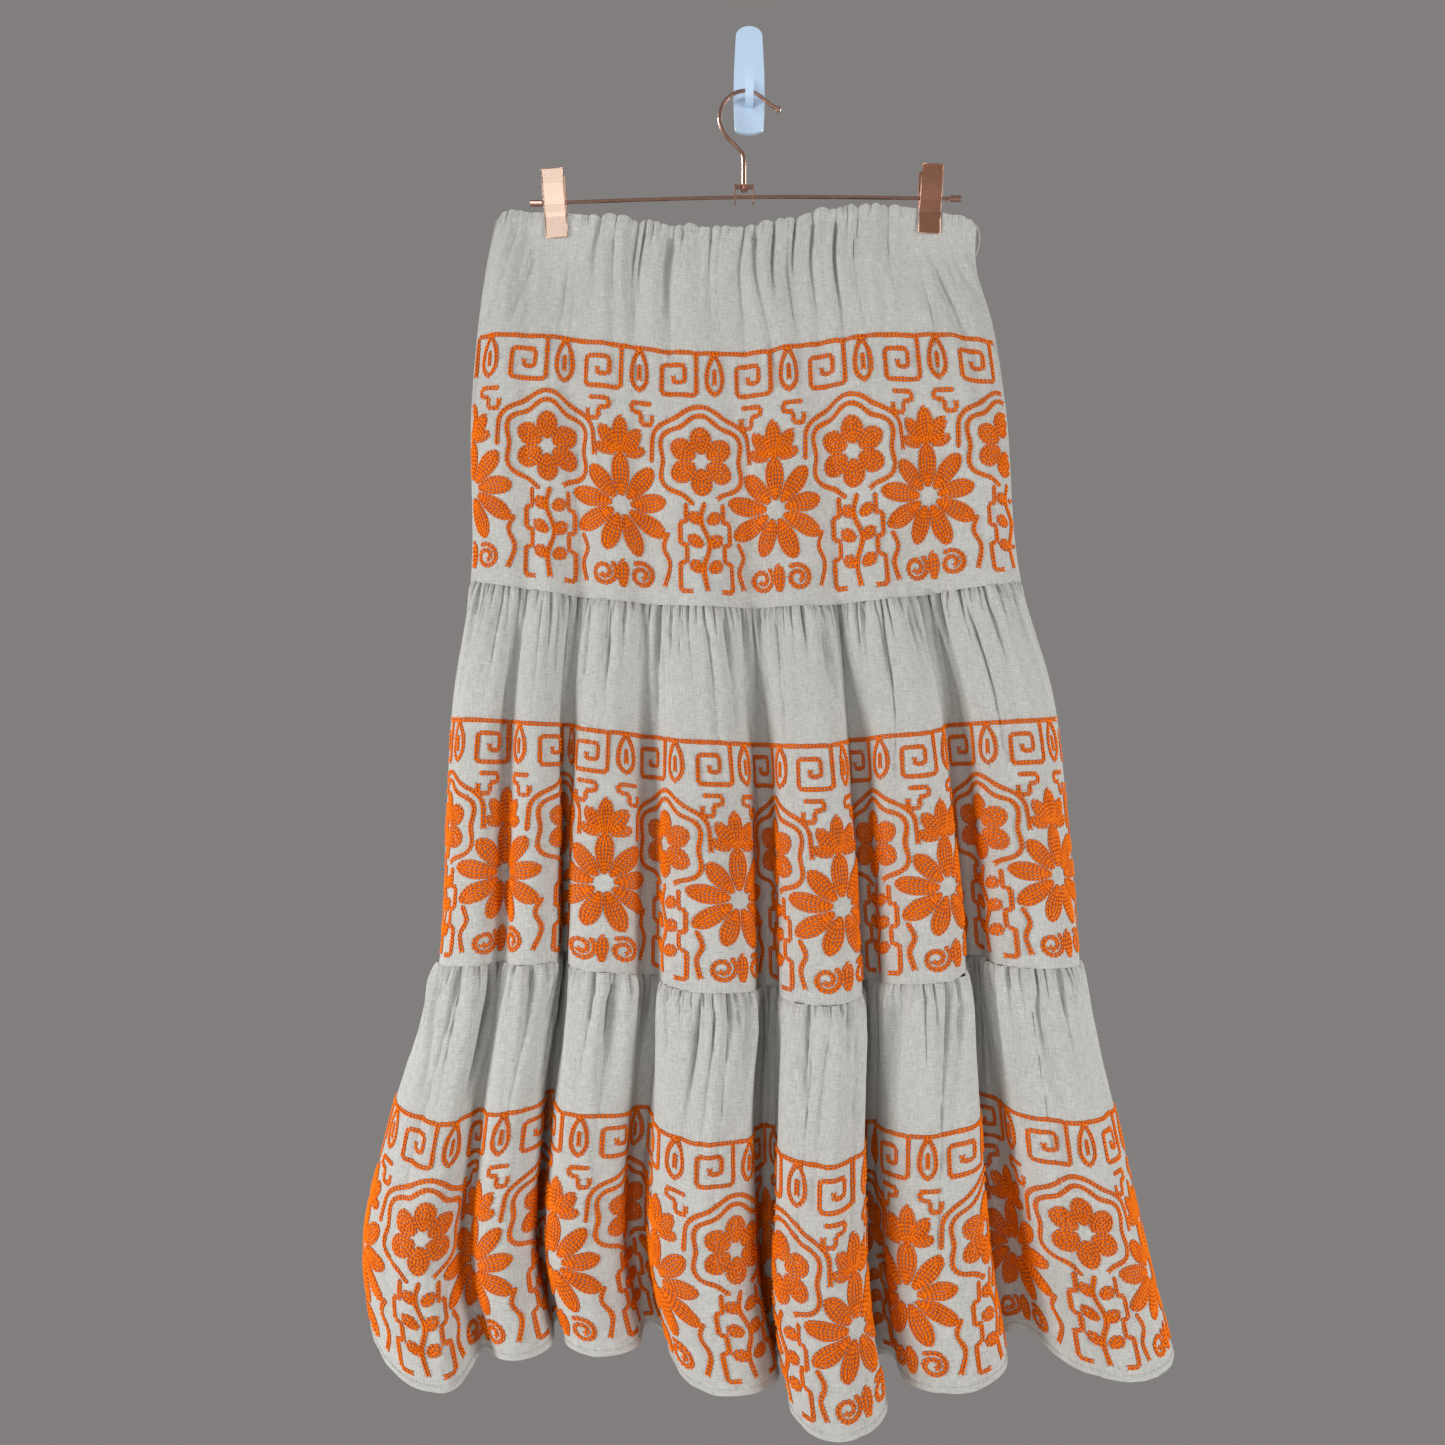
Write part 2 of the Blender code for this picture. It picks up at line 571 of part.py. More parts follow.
def build_saddle(material, collection, guides):
    """The bent strap that joins the hook to the bar: a top plate and two ears."""
    plate = box(
        "hook_saddle",
        (SADDLE_WIDTH, SADDLE_DEPTH, SADDLE_WALL),
        (SADDLE_X, HANGER_DEPTH, SADDLE_TOP - SADDLE_WALL / 2),
        material,
        collection,
    )
    tall = SADDLE_TOP - SADDLE_BOTTOM
    for side in (-1, 1):
        ear_x = SADDLE_X + side * (SADDLE_WIDTH - SADDLE_WALL) / 2
        ear = box(
            f"saddle_ear_{side}",
            (SADDLE_WALL, SADDLE_DEPTH - 2 * JOIN_INSET, tall - 2 * JOIN_INSET),
            (ear_x - side * JOIN_INSET, HANGER_DEPTH, SADDLE_TOP - tall / 2 - 2 * JOIN_INSET),
            None,
            guides,
        )
        boolean(plate, ear, "UNION")
    for name, radius, axis in (("bar", BAR_RADIUS, "x"), ("hook", HOOK_RADIUS, "z")):
        place = (SADDLE_X, HANGER_DEPTH, BAR_POINTS[2][1] if axis == "x" else SADDLE_TOP)
        long = 2 * SADDLE_WIDTH if axis == "x" else 3 * SADDLE_WALL
        bore = cylinder(f"saddle_{name}_bore", radius + BORE_GAP, long, place, axis, None, guides)
        boolean(plate, bore, "DIFFERENCE")


def flat_outline(name, outline, thickness, material, collection):
    """A flat piece with this outline in X and Z, from the wall out to its thickness."""
    curve = bpy.data.curves.new(name, "CURVE")
    curve.dimensions = "2D"
    curve.fill_mode = "BOTH"
    curve.extrude = thickness * MM / 2
    spline = curve.splines.new("POLY")
    spline.points.add(len(outline) - 1)
    for spot, (x, z) in zip(spline.points, outline):
        spot.co = (x * MM, z * MM, 0.0, 1.0)
    spline.use_cyclic_u = True
    made = bpy.data.objects.new(name, curve)
    collection.objects.link(made)
    made.rotation_euler = (math.pi / 2, 0.0, 0.0)
    made.location = point(0.0, thickness / 2, 0.0)
    curve.materials.append(material)
    return made


def wall_hook_outline():
    """The plate's outline: sides from its widths, and a shallow round top and foot."""
    tall = HOOK_PLATE_TOP - HOOK_PLATE_BOTTOM
    shares = [share for share, _ in reversed(HOOK_PLATE_WIDTHS)]
    widths = [width for _, width in reversed(HOOK_PLATE_WIDTHS)]
    straight = tall - HOOK_PLATE_FOOT_ROUND - HOOK_PLATE_TOP_ROUND
    right = []
    for share in np.linspace(0.0, 1.0, 9):
        z = HOOK_PLATE_BOTTOM + HOOK_PLATE_FOOT_ROUND + share * straight
        right.append((float(np.interp((z - HOOK_PLATE_BOTTOM) / tall, shares, widths)) / 2, z))
    (foot_x, foot_z), (top_x, top_z) = right[0], right[-1]
    arc = np.radians(np.linspace(0, 180, 15)[1:-1])
    top = [(top_x * math.cos(a), top_z + HOOK_PLATE_TOP_ROUND * math.sin(a)) for a in arc]
    foot = [(-foot_x * math.cos(a), foot_z - HOOK_PLATE_FOOT_ROUND * math.sin(a)) for a in arc]
    return [*right, *top, *((-x, z) for x, z in reversed(right)), *foot]


def build_wall_hook(material, collection, guides):
    plate = made_mesh(flat_outline("wall_hook", wall_hook_outline(), HOOK_PLATE_THICK, material, collection))
    soft = plate.modifiers.new("soft_edge", "BEVEL")
    soft.width = HOOK_PLATE_SOFT_EDGE * MM
    soft.segments = 2
    soft.limit_method = "ANGLE"
    soft.angle_limit = math.radians(60)
    rows = []
    for depth, z in smooth_route(TONGUE_POINTS, 3):
        rows.append([(TONGUE_WIDTH / 2, depth, z), (-TONGUE_WIDTH / 2, depth, z)])
    tongue = sheet_object("wall_hook_tongue", rows, TONGUE_THICK, material, guides)
    boolean(plate, tongue, "UNION")


def main():
    clear_scene()
    parts = new_collection("tiered_maxi_skirt")
    guides = new_collection("cutters")
    guides.hide_render = True
    linen, rose_gold, white = (new_material(name, *values) for name, values in COLORS.items())
    build_skirt(linen, parts)
    build_hanger(rose_gold, parts, guides)
    build_saddle(rose_gold, parts, guides)
    build_clips(rose_gold, parts, guides)
    build_wall_hook(white, parts, guides)


main()
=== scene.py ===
"""The looks of a tiered maxi skirt that hangs by its waist from a clip hanger on a wall hook.

Lengths are in millimetres up to the point where a mesh is made, and in the model's frame: +X to the
viewer's right, +Z up, and depth the distance in front of the wall, so Y is minus the depth.
"""

import math
from collections import namedtuple

import bpy
import numpy as np
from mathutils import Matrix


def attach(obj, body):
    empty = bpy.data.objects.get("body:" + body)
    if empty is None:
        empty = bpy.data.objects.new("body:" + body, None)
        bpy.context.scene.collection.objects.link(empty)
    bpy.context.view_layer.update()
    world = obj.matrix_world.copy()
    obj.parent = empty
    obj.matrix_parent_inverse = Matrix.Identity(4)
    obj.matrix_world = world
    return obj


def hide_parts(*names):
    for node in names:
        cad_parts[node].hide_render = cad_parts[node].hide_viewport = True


MM = 0.001
METRE = 1000.0
TINY = 1e-9
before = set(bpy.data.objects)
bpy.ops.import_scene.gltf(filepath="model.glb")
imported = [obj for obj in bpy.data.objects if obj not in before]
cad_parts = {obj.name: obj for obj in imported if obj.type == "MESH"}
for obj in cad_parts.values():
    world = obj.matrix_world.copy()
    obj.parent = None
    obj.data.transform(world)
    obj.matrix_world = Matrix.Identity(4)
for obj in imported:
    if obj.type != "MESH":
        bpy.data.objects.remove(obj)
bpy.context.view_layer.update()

# The photograph's view: square, level, square to the wall.
CAMERA_PLACE = (-0.0212, -0.92, -0.514)
HALF_ANGLE = math.radians(32.14)
SENSOR = 36.0

# The cloth's cut. Half widths are of a tier's front or back, laid flat.
TIERS = ("tier_1", "tier_2", "tier_3")
HALVES = ("front", "back")
HALF_WIDTH = {"tier_1": 0.50, "tier_2": 0.77, "tier_3": 1.12}
TIER_HEIGHT = 292.0
SHELL = 0.7
CASING_HEIGHT = 9.0
HEM_FOLD = 4.5
HALF_SEAM_ROOM = 0.03

# The outline, as the solids have it. The columns are named in LEVEL_COLUMNS.
LEVEL_COLUMNS = (
    "at", "left", "right", "side", "front", "front_folds", "back", "back_folds", "hem", "turn",
)
LEVELS = (
    (0.00, -198.6, 178.5, 15.0, 20.0, 0.05, 8.5, 0.04, 0.00, 20.0),
    (0.12, -205.5, 178.0, 15.4, 22.5, 0.08, 7.8, 0.06, 0.00, 26.0),
    (0.28, -212.0, 190.5, 16.4, 26.0, 0.14, 7.4, 0.10, 0.00, 32.0),
    (0.50, -217.5, 200.0, 18.0, 29.5, 0.20, 7.4, 0.14, 0.00, 38.0),
    (1.00, -217.7, 211.8, 22.0, 37.0, 0.34, 8.5, 0.22, 0.00, 45.0),
    (1.31, -230.0, 235.5, 27.0, 49.0, 0.74, 11.0, 0.40, 0.00, 55.0),
    (1.65, -234.0, 245.0, 32.5, 62.0, 1.08, 15.0, 0.60, 0.00, 62.0),
    (2.00, -237.3, 252.3, 38.0, 73.0, 1.20, 18.5, 0.80, 0.00, 70.0),
    (2.45, -271.0, 278.0, 47.0, 82.0, 1.20, 22.0, 1.00, 0.45, 75.0),
    (2.80, -290.0, 301.0, 52.0, 87.0, 1.20, 22.5, 1.00, 0.80, 80.0),
    (3.00, -284.0, 315.0, 54.0, 89.0, 1.20, 22.5, 1.00, 1.00, 80.0),
)
FOLD_COLUMNS = ("name", "along_seam", "along_hem", "out_seam", "out_hem", "z_seam", "z_hem")
FRONT_FOLDS = (
    ("one", 0.070, 0.108, 10.0, 21.0, -691.0, -984.0),
    ("dip_one", 0.107, 0.150, -2.0, -8.0, -690.0, -973.0),
    ("one_right", 0.145, 0.192, 12.0, 10.0, -690.0, -968.0),
    ("gap_one", 0.200, 0.238, -20.0, -29.0, -687.0, -962.0),
    ("two", 0.258, 0.292, 11.0, 9.0, -695.0, -966.0),
    ("gap_two", 0.328, 0.350, -12.0, -28.0, -702.0, -966.0),
    ("three", 0.425, 0.446, 20.0, 22.0, -708.0, -985.0),
    ("gap_three", 0.512, 0.524, -20.0, -30.0, -713.0, -988.0),
    ("four", 0.590, 0.572, 22.0, 38.0, -716.0, -1005.0),
    ("gap_four", 0.664, 0.640, -18.0, -28.0, -708.0, -988.0),
    ("five", 0.742, 0.712, 17.0, 20.0, -702.0, -985.0),
    ("gap_five", 0.828, 0.808, -21.0, -30.0, -690.0, -970.0),
    ("six", 0.906, 0.920, 13.0, 14.0, -692.0, -980.0),
)
BACK_FOLD_COUNT = 11
BACK_FOLD_DEPTH = 18.0
BACK_FOLD_DRIFT = 0.16
BACK_FOLD_SIZE = (0.86, 0.14)
BACK_FOLD_RHYTHM = (1.7, 2.3)
WAIST_EDGE_X = (-200.0, -151.0, -95.0, -39.0, 10.0, 55.0, 100.0, 140.0, 180.0)
WAIST_EDGE_Z = (-114.0, -112.0, -120.5, -128.0, -125.0, -114.5, -108.5, -109.5, -120.0)
UPPER_SEAM_SIDE = -404.0
UPPER_SEAM_SAG = {"front": 22.0, "back": 8.0}
LOWER_SEAM_SIDES = (-696.0, -695.0)
HEM_SIDES = (-955.0, -981.0)
BACK_SAG = 5.0
HANGER_DEPTH = 14.0
CLOTH_HALF_GAP = 0.75

# The clips: where each crosses the bar, as X and Z, and its lean in degrees. A row of the profile is a
# place up the clip from the bar, and how far the plate's inner face stands from the clip's middle there.
Clip = namedtuple("Clip", ("name", "x", "z", "lean"))
CLIPS = (Clip("left", -153.0, -104.6, 3.5), Clip("right", 142.3, -101.1, -2.5))
CLIP_WIDTH = 16.6
CLIP_SHEET = 1.2
CLIP_PROFILE = (
    (23.6, 6.6), (12.5, 5.9), (4.0, 5.0), (-3.0, 3.6), (-8.5, 2.0), (-12.0, 1.65), (-28.4, 1.65),
)
RIM_RADIUS = 0.45
RIM_INSET = 0.1
COIL_LENGTH = 9.4
COIL_RADIUS = 2.75
COIL_WIRE = 0.5
COIL_TURNS = 7
COIL_STEPS = 18

# How the clips hold the cloth flat: fully within this of a clip's middle, then less and less over this
# reach, and from this far under its lower edge less and less over this height.
PINCH_HALF_WIDTH = 12.5
PINCH_REACH = 42.0
PINCH_START = 2.0
PINCH_FADE = 90.0

# How a ring's path runs between its keys.
SAMPLES = 24
GAP_NARROWNESS = 0.68
WIDEST_SWING = 2.3
HALVINGS = 36

# The grid of each panel: columns and rows, and how the rows crowd towards the upper edge.
GRIDS = {
    ("tier_1", "front"): (300, 60), ("tier_1", "back"): (240, 44),
    ("tier_2", "front"): (520, 56), ("tier_2", "back"): (330, 44),
    ("tier_3", "front"): (760, 56), ("tier_3", "back"): (430, 46),
}
ROW_CROWDING = 1.4
ROW_ROOM = 1.0
CASING_ROWS = (0.0, 1.2, 3.2, 5.4, 7.2, CASING_HEIGHT)
HEM_ROWS = (1.0, 0.5, 0.0)

# Seeds for what is drawn by chance.
GATHER_SEEDS = 100
CREASE_SEED = 7
DENT_SEED = 50
STITCH_SEED = 900

# Gathers, one row for each sort: their number on a half, their height from trough to crest, the share
# of it that they have at the seam, how soon they stand fully out, and the shortest and longest run
# down the cloth.
Gather = namedtuple("Gather", ("waves", "height", "at_seam", "rise", "shortest", "longest"))
GATHERS = {
    "tier_1": (
        Gather(40, 3.6, 1.0, 6.0, 5.0, 18.0),
        Gather(16, 8.0, 0.5, 18.0, 30.0, 120.0),
        Gather(8, 9.0, 0.2, 40.0, 90.0, 230.0),
    ),
    "tier_2": (
        Gather(66, 8.6, 0.8, 4.0, 11.0, 40.0),
        Gather(30, 10.5, 0.4, 14.0, 28.0, 125.0),
        Gather(12, 8.0, 0.2, 35.0, 90.0, 230.0),
    ),
    "tier_3": (
        Gather(98, 9.0, 0.8, 4.0, 11.0, 42.0),
        Gather(42, 11.5, 0.4, 14.0, 34.0, 150.0),
        Gather(18, 12.0, 0.2, 35.0, 100.0, 240.0),
    ),
}

# Between which shares the widths and heights of gathers vary, how much commoner short runs are, how
# soon they fade, how far they drift sideways on their way down, and how sharp their troughs are.
GATHER_WIDTHS = (0.5, 1.5)
GATHER_HEIGHTS = (0.4, 1.0)
SHORT_RUNS = 1.5
GATHER_FADE = 1.5
GATHER_LEAN = 0.011
LEAN_PLACES = 9
LEAN_HEIGHT = 100.0
TROUGH_SHARPNESS = 0.55
PUFF_MIDDLE = 0.62

# At a seam the gathered edge is tucked under the tier above, and at a half's ends the relief fades.
# The last three are shares: of a half's width, of the relief, and of the width again.
SEAM_TUCK = 1.4
SEAM_TUCK_FADE = 2.6
END_FADE = 0.012
END_KEEP = 0.12
SLOPE_STEP = 0.001

# The waist's edge: its stitched line, its scallops and its dropped corners, and how much nearer to a
# clip the fine form comes than the soft one.
CASING_STITCH_DEPTH = 0.3
CASING_STITCH_WIDTH = 1.6
WAIST_SCALLOP = 0.7
WAIST_CORNER = 7.0
WAIST_CORNER_DROP = 4.0
FINE_HOLD = 4

# The back's cloth keeps this far from the wall, with room for its stitches.
WALL_CLEARANCE = 2.2

# The shoulders of the big folds swell over the gaps between them: by how much, where, and how widely, as
# shares of the cloth from a gap to the crest beside it.
SHOULDER_LIFT = {"front": 5.5, "back": 3.0}
SHOULDER_PLACE = 0.5
SHOULDER_HALF_WIDTH = 0.26
FULL_FOLDS = 1.2

# Creases listed one by one: place along the half at their top and foot as shares of its width, the
# distance under the tier's upper edge at which they start and end, their depth, and their half width.
CREASES = {
    ("tier_1", "front"): (
        (0.052, 0.020, 12, 120, 2.2, 4.5),
        (0.112, 0.058, 5, 105, 3.2, 3.6),
        (0.098, 0.095, 30, 110, 1.6, 5.0),
        (0.170, 0.165, 14, 120, 2.8, 3.2),
        (0.222, 0.228, 4, 60, 1.2, 2.6),
        (0.255, 0.280, 15, 170, 2.6, 6.0),
        (0.314, 0.316, 2, 66, 3.4, 2.0),
        (0.374, 0.362, 10, 150, 3.4, 7.0),
        (0.394, 0.396, 2, 50, 1.5, 2.2),
        (0.451, 0.455, 3, 80, 1.8, 2.6),
        (0.540, 0.580, 4, 150, 3.4, 5.0),
        (0.578, 0.582, 0, 66, 2.4, 2.4),
        (0.622, 0.624, 0, 44, 2.0, 2.2),
        (0.662, 0.652, 8, 125, 2.9, 4.0),
        (0.710, 0.697, 10, 130, 2.9, 3.2),
        (0.730, 0.732, 0, 44, 1.3, 2.0),
        (0.792, 0.755, 55, 190, 1.8, 9.0),
        (0.905, 0.945, 14, 170, 3.8, 6.0),
        (0.932, 0.984, 6, 66, 2.6, 4.0),
    ),
}

# How much deeper than listed the creases of each tier are.
CREASE_GAIN = {"tier_1": 1.55, "tier_2": 1.0, "tier_3": 1.3}

# Creases by chance, for a panel with no list: how many, and the limits of each draw.
CHANCE_CREASES = {"tier_1": 17, "tier_2": 20, "tier_3": 26}
CHANCE_LIMITS = {
    "place": (0.15, 0.85),
    "start": (2, 30),
    "length": (50, 190),
    "slant": (-0.018, 0.018),
    "depth": (1.2, 3.6),
    "half_width": (2.4, 7.5),
}

# A crease widens downwards, sets in and fades, and has a low ridge on either side.
CREASE_NARROWEST = 0.7
CREASE_WIDENING = 0.6
CREASE_EASE_IN = 8.0
CREASE_FADE = 0.7
RIDGE_SHARE = 0.32
RIDGE_PLACE = 2.1
RIDGE_SPREAD = 1.2

# Soft dents and finer rumples, one row for each sort: its size and height, how many waves make it up,
# and how much it slants.
DENTS = ((90.0, 0.75, 6, 0.6), (34.0, 0.32, 8, 0.35), (13.0, 0.12, 8, 0.4))
DENT_SIZES = (0.7, 1.4)
DENT_PHASES = (0, 6.28)

# What is laid double: how far it stands out, and how thick it is.
CASING_LIFT = 0.12
CASING_THICKNESS = 1.0
HEM_LIFT = 0.45
HEM_THICKNESS = 0.6

# Edges sharper than this, in degrees, stay crisp. The panels' flat maps lie this far from one another.
CRISP_ANGLE = 70.0
MAP_STEP = 1300.0

# The embroidery. A repeat has this width on the cloth's own surface and this height. Each tier has its
# number of repeats on a half, the one it starts at, how far its band lies under its upper edge, and
# the band's height there.
REPEAT_WIDTH = 125.0
REPEAT_HEIGHT = 188.0
Band = namedtuple("Band", ("repeats", "first", "top", "height"))
BANDS = {
    "tier_1": Band(3.6, 0.25, 97.0, 186.0),
    "tier_2": Band(6.0, 0.62, 105.0, 181.0),
    "tier_3": Band(8.4, 0.10, 108.0, 176.0),
}
BORDER_MARGIN = 2.5
LEAST_SHARE = 0.001
STITCH_PITCH = 3.1
STITCH_WIDTH = 4.1
STITCH_HEIGHT = 1.5
STITCH_BASE = 0.1
STITCH_SIZES = (0.92, 1.08)
HEADING_REACH = 0.8
ROW_STEP = 2.85

# Petals: points along a side, how round they are, how their lengths vary, and the room that a last
# row or a middle line needs, in row steps. Rings have so many points to a millimetre of radius, and
# curls so many to a turn.
PETAL_POINTS = 11
PETAL_ROUNDNESS = 0.6
PETAL_RHYTHM = 2.1
PETAL_PHASE = 0.6
ROOM_FOR_ROW = 0.35
ROOM_FOR_MIDDLE = 0.75
RING_POINTS = 2.2
CURL_POINTS = 26

# Corners are cut back by at most this share of a side. Leaves lean from a stem by this much, in radians,
# and start this far from it.
CORNER_REACH = 0.45
LEAF_LEAN = 0.95
LEAF_STALK = 2.0

# Machine stitches, and where their rows lie.
Stitch = namedtuple("Stitch", ("pitch", "length", "width", "height", "base"))
HEM_STITCH = Stitch(pitch=3.0, length=2.3, width=0.5, height=0.3, base=0.8)
SEAM_STITCH = Stitch(pitch=3.0, length=2.4, width=0.7, height=0.3, base=0.4)
HEM_STITCH_ABOVE = 3.4
HEM_STITCH_INSET = 1.0
SIDE_SEAM_INSET = 11.0
SIDE_SEAM_TOP = 4.0
SIDE_SEAM_FOOT = 5.0

# A loose thread at the right end of the waist, as X and Z.
LOOSE_THREAD = ((177.6, -121.5), (180.4, -127.0), (181.2, -134.0), (180.2, -141.0), (177.8, -147.5))
LOOSE_THREAD_DEPTH = 15.5
LOOSE_THREAD_RADIUS = 0.3

COLORS = {
    "linen": (0.53, 0.532, 0.507),
    "thread": (0.84, 0.142, 0.0),
    # The thread's crest colour is a painted highlight.
    "thread_painted_highlight": (1.0, 0.225, 0.005),
    "hem_thread": (0.50, 0.485, 0.45),
    "rose_gold": (0.80, 0.47, 0.36),
    # A lighter and a darker copy of the rose gold for the left and the right clip: painted highlight and
    # painted shade.
    "painted_highlight_rose_gold": (0.86, 0.645, 0.52),
    "painted_shade_rose_gold": (0.58, 0.275, 0.18),
    "plastic": (0.55, 0.72, 0.92),
}
WHITE = (1.0, 1.0, 1.0)
BLACK = (0.0, 0.0, 0.0)

# The studio: each light's place and target in metres, its power in watts and its diameter.
Light = namedtuple("Light", ("name", "place", "target", "power", "size"))
LIGHTS = (
    Light("front", (-0.35, -1.8, 0.1), (0.0, 0.0, -0.75), 6.0, 0.5),
    Light("left", (-1.68, -1.05, -0.75), (0.0, 0.0, -0.7), 27.0, 0.8),
    Light("right", (1.68, -1.05, -0.6), (0.0, 0.0, -0.6), 22.0, 0.8),
    Light("back_left", (-1.4, 1.6, 0.5), (0.0, 0.0, -0.5), 34.0, 1.1),
    Light("back_right", (1.4, 1.6, 0.3), (0.0, 0.0, -0.5), 20.0, 1.3),
)
WORLD_COLOR = (0.82, 0.785, 0.77, 1.0)
WORLD_STRENGTH = 0.27
FLOOR_SIZE = 2.6
FLOOR_PLACE = (0.0, -1.05, -1.32)


def make_camera():
    data = bpy.data.cameras.new("camera")
    data.sensor_width = SENSOR
    data.lens = SENSOR / (2 * math.tan(HALF_ANGLE))
    camera = bpy.data.objects.new("camera", data)
    bpy.context.collection.objects.link(camera)
    camera.location = CAMERA_PLACE
    camera.rotation_euler = (math.pi / 2, 0.0, 0.0)
    bpy.context.scene.camera = camera


# Rings of cloth, worked out as in the solids.


def cell(places, at):
    """The step between two places in which each of these lies."""
    return np.clip(np.searchsorted(places, at, side="right") - 1, 0, len(places) - 2)


def level(at, column):
    values = np.array([row[LEVEL_COLUMNS.index(column)] for row in LEVELS])
    places = np.array([row[0] for row in LEVELS])
    slopes = np.gradient(values, places)
    low = int(cell(places, at))
    step = places[low + 1] - places[low]
    t = (at - places[low]) / step
    rise = t * t * (3 - 2 * t)
    start = t * (1 - t) ** 2 * step * slopes[low]
    end = t * t * (t - 1) * step * slopes[low + 1]
    return float(values[low] + rise * (values[low + 1] - values[low]) + start + end)


def front_keys(at):
    hem = level(at, "hem")
    left, right, side = level(at, "left"), level(at, "right"), level(at, "side")
    folds, mean = level(at, "front_folds"), level(at, "front")
    keys = [(left, side)]
    for _, along_seam, along_hem, out_seam, out_hem, _, _ in FRONT_FOLDS:
        along = along_seam + hem * (along_hem - along_seam)
        out = out_seam + hem * (out_hem - out_seam)
        keys.append((left + along * (right - left), mean + folds * out))
    keys.append((right, side))
    return np.array(keys)


def back_keys(at):
    left, right, side = level(at, "left"), level(at, "right"), level(at, "side")
    folds, mean = level(at, "back_folds"), level(at, "back")
    count = 2 * BACK_FOLD_COUNT
    keys = [(left, side)]
    for i in range(1, count):
        along = (i + BACK_FOLD_DRIFT * math.sin(BACK_FOLD_RHYTHM[0] * i)) / count
        size = BACK_FOLD_SIZE[0] + BACK_FOLD_SIZE[1] * math.sin(BACK_FOLD_RHYTHM[1] * i)
        out = BACK_FOLD_DEPTH * size * (-1) ** i
        keys.append((left + along * (right - left), mean + folds * out))
    keys.append((right, side))
    return np.array(keys)


def fold_path(keys, start, end):
    """A ring's half through its keys. Between two keys the heading swings out and back as a sine,
    and it swings most near the inner key."""
    step = np.diff(keys, axis=0)
    turn_in, turn_out = np.zeros(len(step)), np.zeros(len(step))
    turn_in[0], turn_out[-1] = start, end
    t = (np.arange(SAMPLES) + 0.5) / SAMPLES
    lean = turn_in[:, None] * (1 - t) + turn_out[:, None] * t
    goal = np.arctan2(step[:, 1], step[:, 0])
    bend = np.sin(math.pi * np.where(step[:, 1:] > 0, t, 1 - t) ** GAP_NARROWNESS)
    low, high = np.full(len(step), -WIDEST_SWING), np.full(len(step), WIDEST_SWING)
    for _ in range(HALVINGS):
        swing = (low + high) / 2
        heading = lean + swing[:, None] * bend
        net = np.arctan2(np.sin(heading).mean(axis=1), np.cos(heading).mean(axis=1))
        high = np.where(net > goal, swing, high)
        low = np.where(net > goal, low, swing)
    across, outward = np.cos(heading).mean(axis=1), np.sin(heading).mean(axis=1)
    length = np.hypot(step[:, 0], step[:, 1]) / np.hypot(across, outward)
    pieces = np.stack([np.cos(heading), np.sin(heading)], axis=2) * (length / SAMPLES)[:, None, None]
    path = np.vstack([keys[:1], keys[0] + np.cumsum(pieces.reshape(-1, 2), axis=0)])
    run = np.concatenate([[0.0], np.cumsum(np.repeat(length / SAMPLES, SAMPLES))])
    return path, run / run[-1]


def half_ring(half, at):
    turn = math.radians(level(at, "turn"))
    part = SHELL / 2 * math.cos(turn) + HALF_SEAM_ROOM
    sign = 1 if half == "front" else -1
    keys = front_keys(at) if half == "front" else back_keys(at)
    keys[0, 1] += sign * part
    keys[-1, 1] += sign * part
    return fold_path(keys, sign * turn, -sign * turn)


def eased(shares, places, values):
    places, values = np.asarray(places), np.asarray(values)
    low = cell(places, shares)
    t = np.clip((shares - places[low]) / (places[low + 1] - places[low]), 0, 1)
    t = t * t * (3 - 2 * t)
    return values[low] + t * (values[low + 1] - values[low])


def edge_height(half, edge, share, x):
    if edge == 0:
        return np.interp(x, WAIST_EDGE_X, WAIST_EDGE_Z)
    if edge == 1:
        return UPPER_SEAM_SIDE - UPPER_SEAM_SAG[half] * np.sin(math.pi * share)
    sides = LOWER_SEAM_SIDES if edge == 2 else HEM_SIDES
    if half == "back":
        return sides[0] + (sides[1] - sides[0]) * share - BACK_SAG * np.sin(math.pi * share)
    column = FOLD_COLUMNS.index("z_seam" if edge == 2 else "z_hem")
    heights = [sides[0], *(row[column] for row in FRONT_FOLDS), sides[1]]
    _, run = half_ring(half, float(edge))
    return eased(share, run[::SAMPLES], heights)


def smooth(t):
    t = np.clip(t, 0, 1)
    return t * t * (3 - 2 * t)


def pinch(x, z):
    """How far the clips hold the cloth flat, from 0 to 1."""
    held = np.zeros_like(x)
    for clip in CLIPS:
        lower_edge = clip.z + CLIP_PROFILE[-1][0]
        aside = smooth((np.abs(x - clip.x) - PINCH_HALF_WIDTH) / PINCH_REACH)
        below = smooth((lower_edge - PINCH_START - z) / PINCH_FADE)
        held = np.maximum(held, (1 - aside) * (1 - below))
    return held


# The fine form of the cloth: gathers, creases and the linen's slight unevenness.


def seed_of(tier, half):
    return 10 * TIERS.index(tier) + HALVES.index(half)


